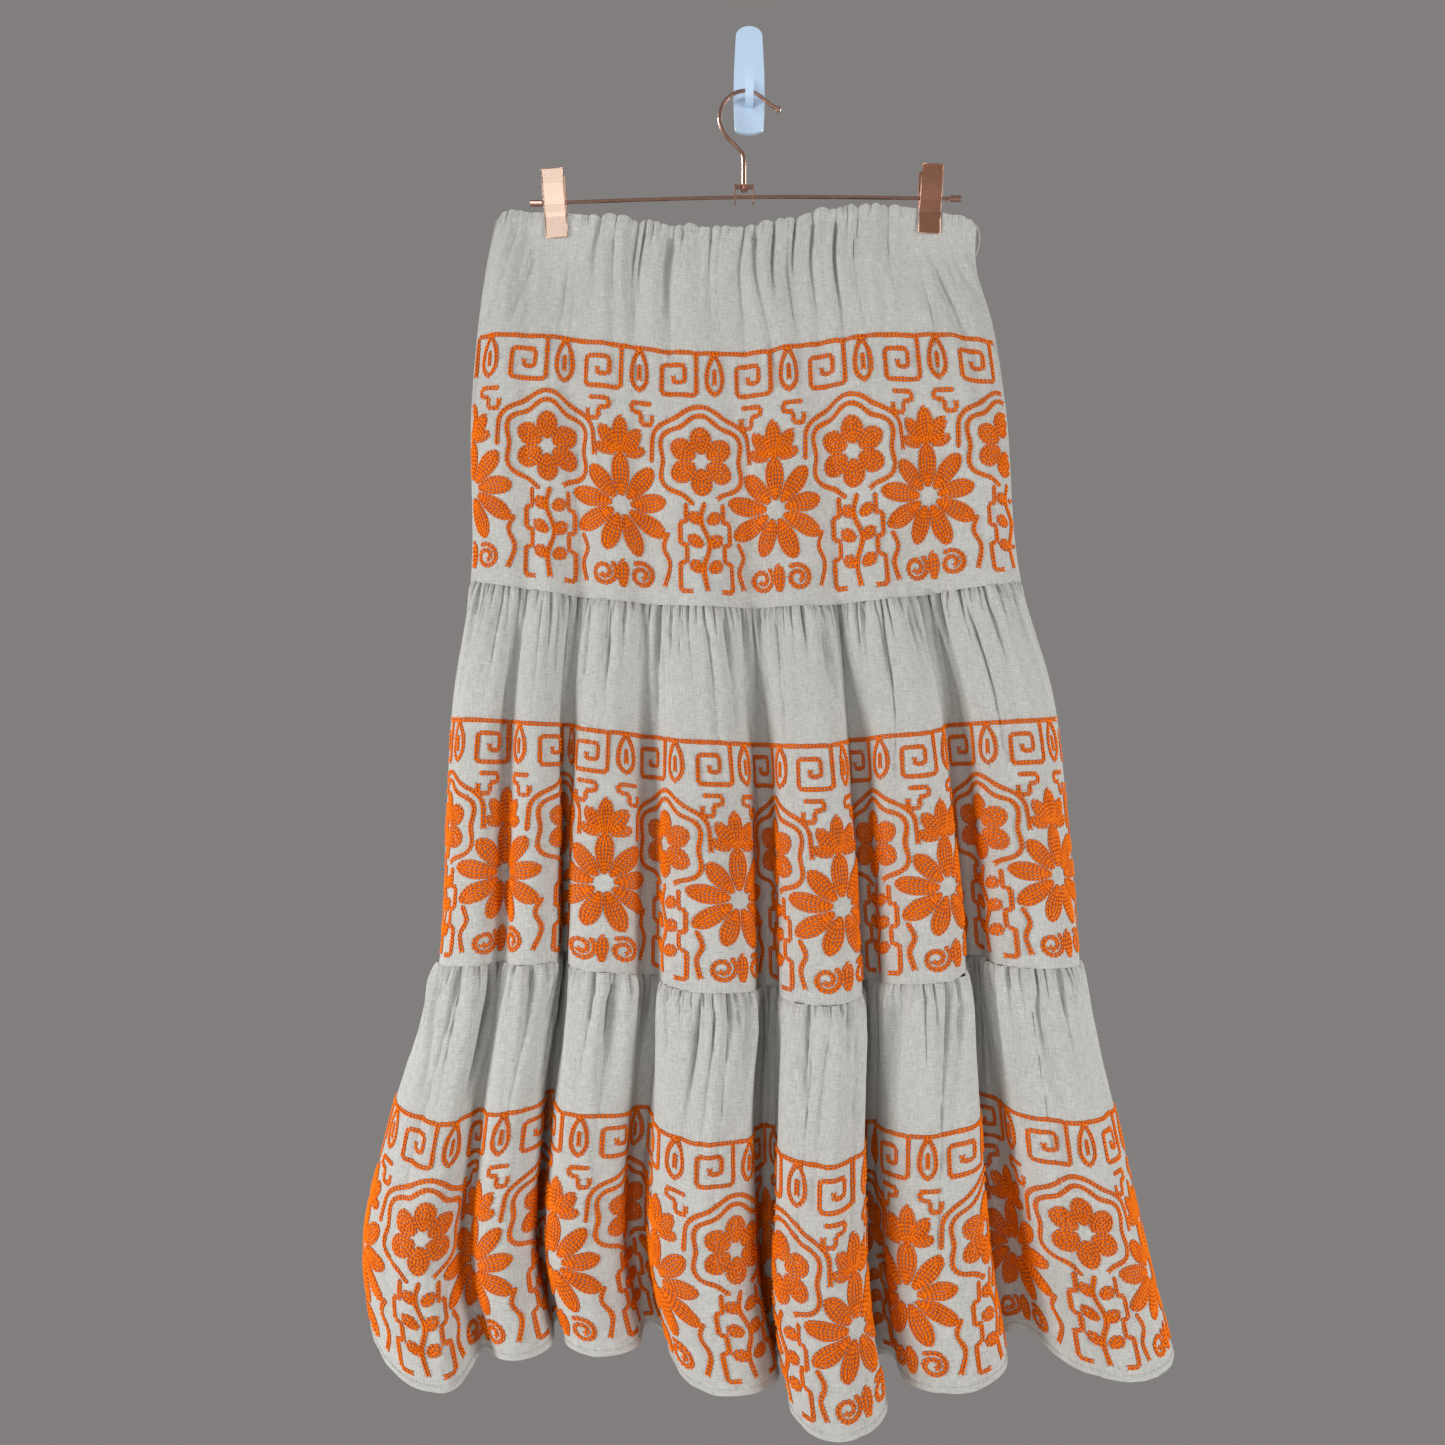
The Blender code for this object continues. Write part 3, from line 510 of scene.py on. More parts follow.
def gathers(tier, half, share, below):
    """Rounded puffs between sharp troughs, each with its own width, height, length and drift."""
    total = np.zeros_like(share)
    for number, (waves, height, at_seam, rise, shortest, longest) in enumerate(GATHERS[tier]):
        chance = np.random.default_rng(GATHER_SEEDS * number + seed_of(tier, half))
        widths = chance.uniform(*GATHER_WIDTHS, waves)
        ends = np.concatenate([[0.0], np.cumsum(widths)]) / widths.sum()
        heights = height * chance.uniform(*GATHER_HEIGHTS, waves) * np.minimum(widths, 1.0)
        longer = chance.uniform(0, 1, waves + 1) ** SHORT_RUNS
        reaches = shortest + (longest - shortest) * longer
        leans = chance.uniform(-GATHER_LEAN, GATHER_LEAN, LEAN_PLACES)
        lean = np.interp(share, np.linspace(0, 1, LEAN_PLACES), leans) * below / LEAN_HEIGHT
        place = np.clip(share + lean, 0.0, 1.0)
        wave = cell(ends, place)
        within = (place - ends[wave]) / (ends[wave + 1] - ends[wave])
        puff = np.sin(math.pi * np.clip(within, 0, 1)) ** TROUGH_SHARPNESS
        reach = reaches[wave] * (1 - within) + reaches[wave + 1] * within
        grown = at_seam + (1 - at_seam) * smooth(below / rise)
        fade = np.exp(-((below / reach) ** GATHER_FADE))
        total += heights[wave] * (puff - PUFF_MIDDLE) * grown * fade
    return total


def creases(tier, half, share, below, width):
    """Troughs that widen downwards, each between two low ridges."""
    rows = CREASES.get((tier, half))
    if rows is None:
        rows = chance_creases(tier, half)
    total = np.zeros_like(share)
    for top, foot, start, end, depth, half_width in rows:
        along = np.clip((below - start) / (end - start), 0, 1)
        middle = top + (foot - top) * along
        wider = CREASE_NARROWEST + CREASE_WIDENING * along
        aside = (share - middle) * width / (half_width * wider)
        fade_in = smooth((below - start + CREASE_EASE_IN) / (2 * CREASE_EASE_IN))
        strength = CREASE_GAIN[tier] * fade_in * (1 - along) ** CREASE_FADE * depth
        total -= strength * np.exp(-(aside**2))
        total += RIDGE_SHARE * strength * np.exp(-((np.abs(aside) - RIDGE_PLACE) ** 2) / RIDGE_SPREAD)
    return total


def shoulders(half, at, share, key_shares):
    """How far the cloth swells beside the gaps between the big folds, at one height."""
    if half == "front":
        gaps = [i + 1 for i, row in enumerate(FRONT_FOLDS) if row[0].startswith("gap")]
    else:
        gaps = range(2, 2 * BACK_FOLD_COUNT, 2)
    strength = SHOULDER_LIFT[half] * (level(at, f"{half}_folds") / FULL_FOLDS) ** 2
    total = np.zeros_like(share)
    for gap in gaps:
        for crest in (gap - 1, gap + 1):
            reach = key_shares[crest] - key_shares[gap]
            aside = (share - key_shares[gap]) / reach - SHOULDER_PLACE
            total += strength * np.exp(-((aside / SHOULDER_HALF_WIDTH) ** 2))
    return total


def chance_creases(tier, half):
    """Creases for a panel with no list of its own, as uneven as the listed ones."""
    chance = np.random.default_rng(CREASE_SEED + seed_of(tier, half))
    count = CHANCE_CREASES[tier]
    rows = []
    for i in range(count):
        drawn = {name: chance.uniform(*limits) for name, limits in CHANCE_LIMITS.items()}
        top = (i + drawn["place"]) / count
        foot = top + drawn["slant"]
        end = drawn["start"] + drawn["length"]
        rows.append((top, foot, drawn["start"], end, drawn["depth"], drawn["half_width"]))
    return rows


def unevenness(tier, half, across, below):
    """Soft dents of a hand's width and finer vertical rumples, as a sum of slanted waves."""
    chance = np.random.default_rng(DENT_SEED + seed_of(tier, half))
    total = np.zeros_like(across)
    for size, height, count, slant in DENTS:
        for _ in range(count):
            turn = chance.uniform(-1.0, 1.0)
            wave_x = 2 * math.pi / (size * chance.uniform(*DENT_SIZES))
            wave_z = wave_x * slant * turn
            phase = chance.uniform(*DENT_PHASES)
            total += height * np.sin(wave_x * across + wave_z * below + phase) / math.sqrt(count)
    return total


class Panel:
    """One half of a tier as a grid of points, with its normals, for its mesh and for what lies on it."""

    def __init__(self, tier, half, belows, shares):
        self.tier, self.half = tier, half
        self.belows, self.shares = np.asarray(belows, float), np.asarray(shares, float)
        number = TIERS.index(tier)
        width = METRE * HALF_WIDTH[tier]
        rows = []
        for below in self.belows:
            down = below / TIER_HEIGHT
            path, run = half_ring(half, number + down)
            x = np.interp(self.shares, run, path[:, 0])
            depth = np.interp(self.shares, run, path[:, 1])
            ahead, behind = self.shares + SLOPE_STEP, self.shares - SLOPE_STEP
            along_x = np.interp(ahead, run, path[:, 0]) - np.interp(behind, run, path[:, 0])
            along_d = np.interp(ahead, run, path[:, 1]) - np.interp(behind, run, path[:, 1])
            size = np.hypot(along_x, along_d)
            top = edge_height(half, number, self.shares, x)
            bottom = edge_height(half, number + 1, self.shares, x)
            z = top + down * (bottom - top)
            held = pinch(x, z)
            outer = 1 if half == "front" else -1
            depth = depth + held * (HANGER_DEPTH + outer * CLOTH_HALF_GAP - depth)
            from_end = np.minimum(self.shares, 1 - self.shares)
            inside = smooth(from_end / END_FADE + END_KEEP)
            level_below = np.full_like(x, below)
            fine = gathers(tier, half, self.shares, level_below)
            fine += creases(tier, half, self.shares, level_below, width)
            soft = unevenness(tier, half, self.shares * width, level_below)
            soft += shoulders(half, number + down, self.shares, run[::SAMPLES])
            lift = inside * (fine * (1 - held**FINE_HOLD) + soft * (1 - held))
            if number:
                lift -= SEAM_TUCK * math.exp(-below / SEAM_TUCK_FADE)
            else:
                line = math.exp(-(((below - CASING_HEIGHT) / CASING_STITCH_WIDTH) ** 2))
                lift -= CASING_STITCH_DEPTH * (1 - held) * inside * line
                z = z + WAIST_SCALLOP * lift * math.exp(-below / CASING_HEIGHT)
                corner = np.exp(-((from_end * width / WAIST_CORNER) ** 2))
                z = z - WAIST_CORNER_DROP * corner * math.exp(-below / CASING_HEIGHT)
            lift *= outer
            x = x - lift * along_d / size
            depth = np.maximum(depth + lift * along_x / size, WALL_CLEARANCE)
            rows.append(np.stack([x, -depth, z], axis=1))
        self.points = np.array(rows)
        self.find_normals()

    def find_normals(self):
        down = np.gradient(self.points, axis=0)
        along = np.gradient(self.points, axis=1)
        normal = np.cross(down, along)
        normal /= np.linalg.norm(normal, axis=2, keepdims=True) + TINY
        self.normals = normal if self.half == "front" else -normal

    def at(self, share, below, lift):
        """Points on the panel at these shares of its width and distances under its edge, moved out."""
        column = np.interp(share, self.shares, np.arange(len(self.shares)))
        row = np.interp(below, self.belows, np.arange(len(self.belows)))
        i = np.clip(row.astype(int), 0, len(self.belows) - 2)
        j = np.clip(column.astype(int), 0, len(self.shares) - 2)
        u, v = (column - j)[:, None], (row - i)[:, None]
        found = []
        for grid in (self.points, self.normals):
            upper = grid[i, j] * (1 - u) + grid[i, j + 1] * u
            lower = grid[i + 1, j] * (1 - u) + grid[i + 1, j + 1] * u
            found.append(upper * (1 - v) + lower * v)
        return found[0] + found[1] * np.asarray(lift)[:, None]


def mesh_object(name, points, faces, material, smooth_faces=True):
    mesh = bpy.data.meshes.new(name)
    mesh.from_pydata((np.asarray(points) * MM).tolist(), [], np.asarray(faces).tolist())
    mesh.materials.append(material)
    mesh.polygons.foreach_set("use_smooth", [smooth_faces] * len(mesh.polygons))
    mesh.update()
    return riding(name, mesh)


def riding(name, mesh):
    """An object with this mesh, in the skirt's one body."""
    made = bpy.data.objects.new(name, mesh)
    bpy.context.collection.objects.link(made)
    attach(made, "root")
    return made


def grid_faces(rows, columns, flip):
    i, j = np.meshgrid(np.arange(rows - 1), np.arange(columns - 1), indexing="ij")
    a = (i * columns + j).reshape(-1)
    quads = np.stack([a, a + columns, a + columns + 1, a + 1], axis=1)
    return quads[:, ::-1] if flip else quads


def lay_map(made, across, down):
    """The cloth's own flat coordinates in metres, for its weave."""
    layer = made.data.uv_layers.new(name="cut")
    corner = np.empty(len(made.data.loops), np.int32)
    made.data.loops.foreach_get("vertex_index", corner)
    flat = np.stack([across.reshape(-1)[corner], down.reshape(-1)[corner]], axis=1) * MM
    layer.data.foreach_set("uv", flat.reshape(-1))


def cloth_object(name, panel, first, last, material, lift=0.0, thickness=SHELL):
    """A thin shell on the rows of a panel from first to last."""
    points = panel.points[first : last + 1] + panel.normals[first : last + 1] * lift
    rows, columns = points.shape[:2]
    faces = grid_faces(rows, columns, panel.half == "back")
    made = mesh_object(name, points.reshape(-1, 3), faces, material)
    across = np.broadcast_to(panel.shares * HALF_WIDTH[panel.tier] * METRE, (rows, columns))
    down = np.broadcast_to(panel.belows[first : last + 1, None], (rows, columns))
    lay_map(made, across + MAP_STEP * seed_of(panel.tier, panel.half), -down)
    wall = made.modifiers.new("shell", "SOLIDIFY")
    wall.thickness = thickness * MM
    wall.offset = 0.0
    crisp = made.modifiers.new("crisp_edges", "EDGE_SPLIT")
    crisp.split_angle = math.radians(CRISP_ANGLE)
    return made


# Materials.


class Nodes:
    """Short calls for a material's node tree."""

    def __init__(self, name, roughness, metallic=0.0):
        self.material = bpy.data.materials.new(name)
        self.material.use_nodes = True
        self.tree = self.material.node_tree
        self.shader = self.tree.nodes["Principled BSDF"]
        self.set("Roughness", roughness)
        self.set("Metallic", metallic)

    def node(self, kind, **values):
        made = self.tree.nodes.new(kind)
        for key, value in values.items():
            if hasattr(made, key):
                setattr(made, key, value)
            else:
                made.inputs[key].default_value = value
        return made

    def place(self):
        return self.node("ShaderNodeTexCoord").outputs["Object"]

    def feed(self, socket, value):
        """Gives a socket a number, a colour or another node's output."""
        if isinstance(value, (int, float)):
            socket.default_value = value
        elif isinstance(value, tuple):
            socket.default_value = (*value, 1.0)
        else:
            self.tree.links.new(value, socket)

    def set(self, name, value):
        self.feed(self.shader.inputs[name], value)

    def noise(self, vector, scale, detail=2.0, stretch=(1.0, 1.0, 1.0), roughness=0.55):
        mapping = self.node("ShaderNodeMapping", Scale=stretch)
        self.feed(mapping.inputs["Vector"], vector)
        made = self.node("ShaderNodeTexNoise", Scale=scale, Detail=detail, Roughness=roughness)
        self.feed(made.inputs["Vector"], mapping.outputs["Vector"])
        return made.outputs["Fac"]

    def ramp(self, value, stops):
        made = self.node("ShaderNodeValToRGB")
        elements = made.color_ramp.elements
        while len(elements) < len(stops):
            elements.new(0.5)
        for element, (place, color) in zip(elements, stops):
            element.position = place
            element.color = (*color, 1.0)
        self.feed(made.inputs["Fac"], value)
        return made.outputs["Color"]

    def math(self, operation, a, b):
        made = self.node("ShaderNodeMath", operation=operation)
        for socket, value in zip(made.inputs, (a, b)):
            self.feed(socket, value)
        return made.outputs["Value"]

    def mix(self, kind, factor, a, b):
        made = self.node("ShaderNodeMix", data_type="RGBA", blend_type=kind)
        self.feed(made.inputs["Factor"], factor)
        self.feed(made.inputs[6], a)
        self.feed(made.inputs[7], b)
        return made.outputs[2]

    def bump(self, *layers):
        """Bumps laid on one another, each a height, a strength and a distance in metres."""
        under = None
        for height, strength, distance in layers:
            made = self.node("ShaderNodeBump", Strength=strength, Distance=distance)
            self.feed(made.inputs["Height"], height)
            if under is not None:
                self.feed(made.inputs["Normal"], under)
            under = made.outputs["Normal"]
        self.set("Normal", under)


def shade(color, by):
    return tuple(min(1.0, part * by) for part in color)


def linen_material():
    """Plain weave: slubs along both threads, small dark flecks, and the finest puckers near a seam."""
    made = Nodes("linen", 0.9)
    place = made.node("ShaderNodeUVMap", uv_map="cut").outputs["UV"]
    warp = made.noise(place, 1.0, 3.0, (1500.0, 110.0, 1.0), 0.7)
    weft = made.noise(place, 1.0, 3.0, (110.0, 1500.0, 1.0), 0.7)
    threads = made.math("ADD", made.math("MULTIPLY", warp, 0.5), made.math("MULTIPLY", weft, 0.5))
    base = COLORS["linen"]
    dark_stops = ((0.36, shade(base, 0.68)), (0.46, shade(base, 0.92)))
    light_stops = ((0.54, shade(base, 1.05)), (0.64, shade(base, 1.28)))
    tone = made.ramp(threads, dark_stops + light_stops)
    cloudy = made.noise(place, 1.0, 2.0, (16.0, 10.0, 1.0))
    clouds = made.ramp(cloudy, ((0.3, (0.93, 0.925, 0.915)), (0.7, WHITE)))
    tone = made.mix("MULTIPLY", 1.0, tone, clouds)
    specks = made.noise(place, 1.0, 1.0, (380.0, 260.0, 1.0))
    mask = made.ramp(specks, ((0.69, BLACK), (0.75, WHITE)))
    tone = made.mix("MIX", made.math("MULTIPLY", mask, 0.5), tone, shade(base, 0.45))
    made.set("Base Color", tone)
    parts = made.node("ShaderNodeSeparateXYZ")
    made.feed(parts.inputs["Vector"], place)
    below = made.math("MULTIPLY", parts.outputs["Y"], -METRE / TIER_HEIGHT)
    near_seam = made.ramp(below, ((0.0, WHITE), (0.1, (0.6, 0.6, 0.6)), (0.34, BLACK)))
    pleats = made.math("MULTIPLY", made.noise(place, 1.0, 2.0, (150.0, 11.0, 1.0)), near_seam)
    at_seam = made.ramp(below, ((0.0, WHITE), (0.012, (0.8, 0.8, 0.8)), (0.05, BLACK)))
    puckers = made.math("MULTIPLY", made.noise(place, 1.0, 1.0, (300.0, 30.0, 1.0)), at_seam)
    rumples = made.noise(place, 1.0, 3.0, (70.0, 22.0, 1.0))
    made.bump(
        (rumples, 0.5, 0.0016),
        (pleats, 0.5, 0.003),
        (puckers, 0.9, 0.004),
        (threads, 0.6, 0.0006),
    )
    made.set("Sheen Weight", 0.08)
    made.set("Sheen Roughness", 0.5)
    made.set("Specular IOR Level", 0.2)
    return made.material


def thread_material():
    """Soft orange floss with fine strands, painted darker and redder low between the stitches as painted
    shade, with a painted highlight on their crests.
    """
    made = Nodes("orange_thread", 0.5)
    place = made.place()
    strands = made.noise(place, 1500.0, 2.0)
    patches = made.noise(place, 45.0, 2.0)
    rise = made.node("ShaderNodeAttribute", attribute_name="rise").outputs["Fac"]
    base = COLORS["thread"]
    # Painted shade and painted highlight: a stitch's height picks a dark colour low between the stitches
    # and a light one on its crest.
    stops = ((0.12, shade(base, 0.32)), (0.7, shade(base, 0.93)), (1.0, COLORS["thread_painted_highlight"]))
    tone = made.ramp(rise, stops)
    fibre = made.ramp(strands, ((0.3, (0.84, 0.8, 0.8)), (0.65, WHITE)))
    drift = made.ramp(patches, ((0.3, (0.93, 0.86, 0.8)), (0.65, WHITE)))
    tone = made.mix("MULTIPLY", 1.0, made.mix("MULTIPLY", 1.0, tone, fibre), drift)
    made.set("Base Color", tone)
    made.bump((strands, 0.4, 0.0003))
    made.set("Specular IOR Level", 0.09)
    return made.material


def hem_thread_material():
    made = Nodes("sewing_thread", 0.8)
    place = made.place()
    strands = made.noise(place, 2200.0, 2.0)
    base = COLORS["hem_thread"]
    tone = made.ramp(strands, ((0.3, shade(base, 0.8)), (0.7, shade(base, 1.1))))
    made.set("Base Color", tone)
    made.bump((strands, 0.3, 0.0002))
    return made.material


def metal_material(name, color, roughness, grain, metallic=1.0, relief=0.12):
    """Plated steel with a satin grain and a little wear."""
    made = Nodes(name, roughness, metallic)
    place = made.place()
    brushed = made.noise(place, 1.0, 3.0, grain)
    speckle = made.noise(place, 900.0, 2.0)
    both = made.math("ADD", made.math("MULTIPLY", brushed, 0.6), made.math("MULTIPLY", speckle, 0.4))
    tone = made.ramp(both, ((0.3, shade(color, 0.86)), (0.55, color), (0.8, shade(color, 1.12))))
    made.set("Base Color", tone)
    rough = made.math("ADD", made.math("MULTIPLY", both, 0.22), roughness - 0.1)
    made.set("Roughness", rough)
    made.bump((both, relief, 0.0002))
    return made.material


def plastic_material():
    made = Nodes("white_plastic", 0.3)
    place = made.place()
    faint = made.noise(place, 120.0, 2.0)
    base = COLORS["plastic"]
    tone = made.ramp(faint, ((0.3, shade(base, 0.975)), (0.7, base)))
    made.set("Base Color", tone)
    made.bump((faint, 0.04, 0.0003))
    made.set("Coat Weight", 0.25)
    made.set("Coat Roughness", 0.15)
    return made.material


# The embroidered border: a generic one, charted here in millimetres. x runs along a repeat and y down
# from the band's top. A line is a list of points, and a rounded one is smoothed through them.


def rounded(points, steps=6):
    places = np.array(points, float)
    ends = np.vstack([2 * places[0] - places[1], places, 2 * places[-1] - places[-2]])
    route = []
    for i in range(len(places) - 1):
        a, b, c, d = ends[i : i + 4]
        for t in np.arange(steps) / steps:
            bend = (2 * a - 5 * b + 4 * c - d) * t * t + (3 * b - a - 3 * c + d) * t**3
            route.append(0.5 * (2 * b + (c - a) * t + bend))
    return np.array([*route, places[-1]])


def petal(root, angle, inner, outer, half_width, fullness=1.3):
    """Chain rows that fill a petal: loops inside one another, and a line up its middle."""
    found = []
    t = np.linspace(0.0, 1.0, PETAL_POINTS)
    row = 0.5
    while half_width - row * ROW_STEP > ROOM_FOR_ROW * ROW_STEP:
        cut = row * ROW_STEP
        along = inner + cut + (outer - inner - 2 * cut) * t
        swell = (half_width - cut) * np.sin(math.pi * t**fullness) ** PETAL_ROUNDNESS
        swell[0] = swell[-1] = 0.0
        sides = [np.stack([along, -swell], axis=1), np.stack([along, swell], axis=1)[::-1]]
        found.append(np.concatenate(sides))
        row += 1
    if half_width - (row - 1) * ROW_STEP > ROOM_FOR_MIDDLE * ROW_STEP:
        cut = row * ROW_STEP
        found.append(np.array([(inner + cut, 0.0), (outer - cut, 0.0)]))
    turn = np.array([(math.cos(angle), math.sin(angle)), (-math.sin(angle), math.cos(angle))])
    return [np.array(root) + line @ turn for line in found]


def flower(middle, petals, inner, outer, half_width, fullness, turn, uneven=0.0):
    """Petals round a middle; uneven is the share by which some are longer and some shorter."""
    found = []
    for k in range(petals):
        angle = turn + 2 * math.pi * k / petals
        longer = 1.0 + uneven * math.sin(PETAL_RHYTHM * k + PETAL_PHASE)
        found += petal(middle, angle, inner, outer * longer, half_width, fullness)
    return found


def ring(middle, radius, wave, lobes, turn, start, end):
    """An arc whose radius swells by a wave, once for each lobe of the whole ring."""
    angle = np.linspace(start, end, int(radius * RING_POINTS))
    reach = radius + wave * np.cos(lobes * (angle - turn))
    return np.stack([middle[0] + reach * np.cos(angle), middle[1] + reach * np.sin(angle)], axis=1)


def curl(middle, outer, inner, turns, start):
    """A spiral from its outer radius to its inner one."""
    angle = np.linspace(0, 2 * math.pi * turns, int(CURL_POINTS * turns))
    reach = outer + (inner - outer) * angle / angle[-1]
    x = middle[0] + reach * np.cos(start + angle)
    y = middle[1] + reach * np.sin(start + angle)
    return np.stack([x, y], axis=1)


def rounded_corners(points, radius):
    """A run of straight lines with its corners taken off in short arcs."""
    places = [np.array(p, float) for p in points]
    route = [places[0]]
    for before, corner, after in zip(places, places[1:], places[2:]):
        into, out = corner - before, after - corner
        cut = min(radius, CORNER_REACH * np.linalg.norm(into), CORNER_REACH * np.linalg.norm(out))
        a = corner - into / np.linalg.norm(into) * cut
        b = corner + out / np.linalg.norm(out) * cut
        for t in (0.0, 0.33, 0.67, 1.0):
            route.append((1 - t) ** 2 * a + 2 * t * (1 - t) * corner + t * t * b)
    route.append(places[-1])
    return np.array(route)


def mirrored(points, middle):
    """The same run of points on the other side of an upright line at this x."""
    return [(2 * middle - x, y) for x, y in points]


def key_unit(left):
    """A square spiral that hangs from the border's top line, with a drop beside it."""
    spiral = [(0, 2), (34, 2), (34, 35), (5, 35), (5, 12)]
    spiral += [(24.5, 12), (24.5, 25.5), (15, 25.5), (15, 20)]
    drop = [(49, 2), (43.5, 14), (43, 27), (49, 34), (55, 27), (54.5, 14), (49, 2)]
    lines = [rounded_corners([(left + x, y) for x, y in spiral], 3.4)]
    lines += [rounded([(left + x, y) for x, y in drop], 4)]
    lines += [np.array([(left + 49, 15.0), (left + 49, 27.0)])]
    lines += [np.array([(left + 34.5, 2.0), (left + 62.5, 2.0)])]
    return lines


def leaf_pair(x, y, angle, length, half_width):
    left = petal((x, y), angle - LEAF_LEAN, LEAF_STALK, length, half_width)
    right = petal((x, y), angle + LEAF_LEAN, LEAF_STALK, length, half_width)
    return left + right


def border_lines():
    """Every chain-stitched line of one repeat."""
    daisy, blossom, bud, stem = (34.0, 124.0), (99.0, 86.0), (34.0, 86.5), 100.5
    up = -math.pi / 2
    lines = key_unit(0.0) + key_unit(62.5)
    lines += flower(daisy, 9, 6.5, 39.5, 6.9, 1.3, up, 0.06)
    lines += flower(blossom, 6, 5.0, 27.0, 8.4, 1.2, up)
    lines += [ring(blossom, 33.0, 2.6, 6, up, math.radians(-258), math.radians(68))]
    around = ring(blossom, 40.5, 2.0, 6, up, math.radians(-158), math.radians(-22))
    lines += [np.concatenate([[(around[0, 0] - 1, 88.0)], around, [(around[-1, 0] + 1, 88.0)]])]
    lines += petal(bud, up, 1.0, 31.0, 6.0)
    for side in (-1, 1):
        lines += petal(bud, up + side * 0.62, 3.0, 27.0, 5.6)
        lines += petal(bud, up + side * 1.22, 4.0, 21.0, 4.4)
        hook = [(34 + side * 25, 44), (34 + side * 9, 44), (34 + side * 9, 51), (34 + side * 17, 51)]
        hook += [(34 + side * 17, 60), (34 + side * 26, 60), (34 + side * 26, 52)]
        lines += [rounded_corners(hook, 3.0)]
    lines += [rounded([(stem, 118), (stem - 3, 132), (stem + 3, 150), (stem - 2, 168), (stem, 186)])]
    for y, length in ((135.0, 15.0), (153.0, 16.0), (172.0, 15.0)):
        lines += leaf_pair(stem, y, up, length, 4.6)
    steps = [(stem - 14.5, 119), (stem - 14.5, 133), (stem - 19.5, 133), (stem - 19.5, 150)]
    steps += [(stem - 14.5, 150), (stem - 14.5, 164), (stem - 20, 164)]
    steps += [(stem - 20, 186), (stem - 10.5, 186)]
    lines += [rounded_corners(steps, 3.0), rounded_corners(mirrored(steps, stem), 3.0)]
    lines += [curl((20.0, 176.0), 10.0, 2.4, 1.6, -0.9), curl((49.0, 176.0), 10.0, 2.4, 1.6, -2.2)]
    lines += petal((34.5, 188.0), up, 1.0, 23.0, 4.4)
    lines += [rounded([(71, 142), (67, 153), (72, 166), (67, 183)])]
    lines += [rounded([(2, 148), (6, 159), (2, 170), (5, 184)])]
    return lines


def evenly(points, pitch):
    """Places and headings at equal steps along a line."""
    legs = np.linalg.norm(np.diff(points, axis=0), axis=1)
    run = np.concatenate([[0.0], np.cumsum(legs)])
    count = max(2, int(round(run[-1] / pitch)))
    spots = (np.arange(count) + 0.5) * run[-1] / count
    x, y = np.interp(spots, run, points[:, 0]), np.interp(spots, run, points[:, 1])
    near = np.clip(spots - HEADING_REACH, 0, run[-1])
    far = np.clip(spots + HEADING_REACH, 0, run[-1])
    dx = np.interp(far, run, points[:, 0]) - np.interp(near, run, points[:, 0])
    dy = np.interp(far, run, points[:, 1]) - np.interp(near, run, points[:, 1])
    size = np.hypot(dx, dy) + TINY
    return np.stack([x, y, dx / size, dy / size], axis=1)


# A stitch is two slanted lobes, which give a row of them its plaited look. Each point of a lobe is
# placed along and across the row, in stitch lengths and half widths, and raised by a share.
LOBE = (
    (-0.86, 0.12, 0.0),
    (-0.16, 1.0, 0.0),
    (0.66, 0.78, 0.0),
    (0.06, 0.0, 0.15),
    (-0.06, 0.52, 1.0),
)
LOBE_FACES = ((0, 4, 1), (1, 4, 2), (2, 4, 3), (3, 4, 0))

# A machine stitch is a small ridge: the same, for its six points.
DASH = (
    (-1.0, -1.0, 0.0),
    (-1.0, 1.0, 0.0),
    (1.0, 1.0, 0.0),
    (1.0, -1.0, 0.0),
    (-0.5, 0.0, 1.0),
    (0.5, 0.0, 1.0),
)
DASH_FACES = ((0, 4, 1), (1, 4, 5), (1, 5, 2), (2, 5, 3), (3, 5, 4), (3, 4, 0))


def laid(spots, along, across):
    """Points on the flat cloth, each so far along and across from a place with a heading."""
    x = spots[:, 0:1] + along * spots[:, 2:3] - across * spots[:, 3:4]
    y = spots[:, 1:2] + along * spots[:, 3:4] + across * spots[:, 2:3]
    return x, y


def repeated(faces, count, points):
    """These faces once for each stitch, where a stitch has so many points."""
    return (faces[None] + (np.arange(count) * points)[:, None, None]).reshape(-1, 3)


def stitch_points(spots, chance):
    """All lobes' points on the flat cloth, as x, y and lift, for these places and headings."""
    lobe = np.array(LOBE)
    both = np.concatenate([lobe, lobe * (1.0, -1.0, 1.0)])
    size = chance.uniform(*STITCH_SIZES, (len(spots), 1))
    along = both[:, 0] * STITCH_PITCH * size
    across = both[:, 1] * STITCH_WIDTH / 2 * size
    lift = STITCH_BASE + both[:, 2] * STITCH_HEIGHT * size
    x, y = laid(spots, along, across)
    return x.reshape(-1), y.reshape(-1), lift.reshape(-1)


def stitch_faces(count):
    lobe = np.array(LOBE_FACES)
    one = np.concatenate([lobe, lobe[:, ::-1] + len(LOBE)])
    return repeated(one, count, 2 * len(LOBE))


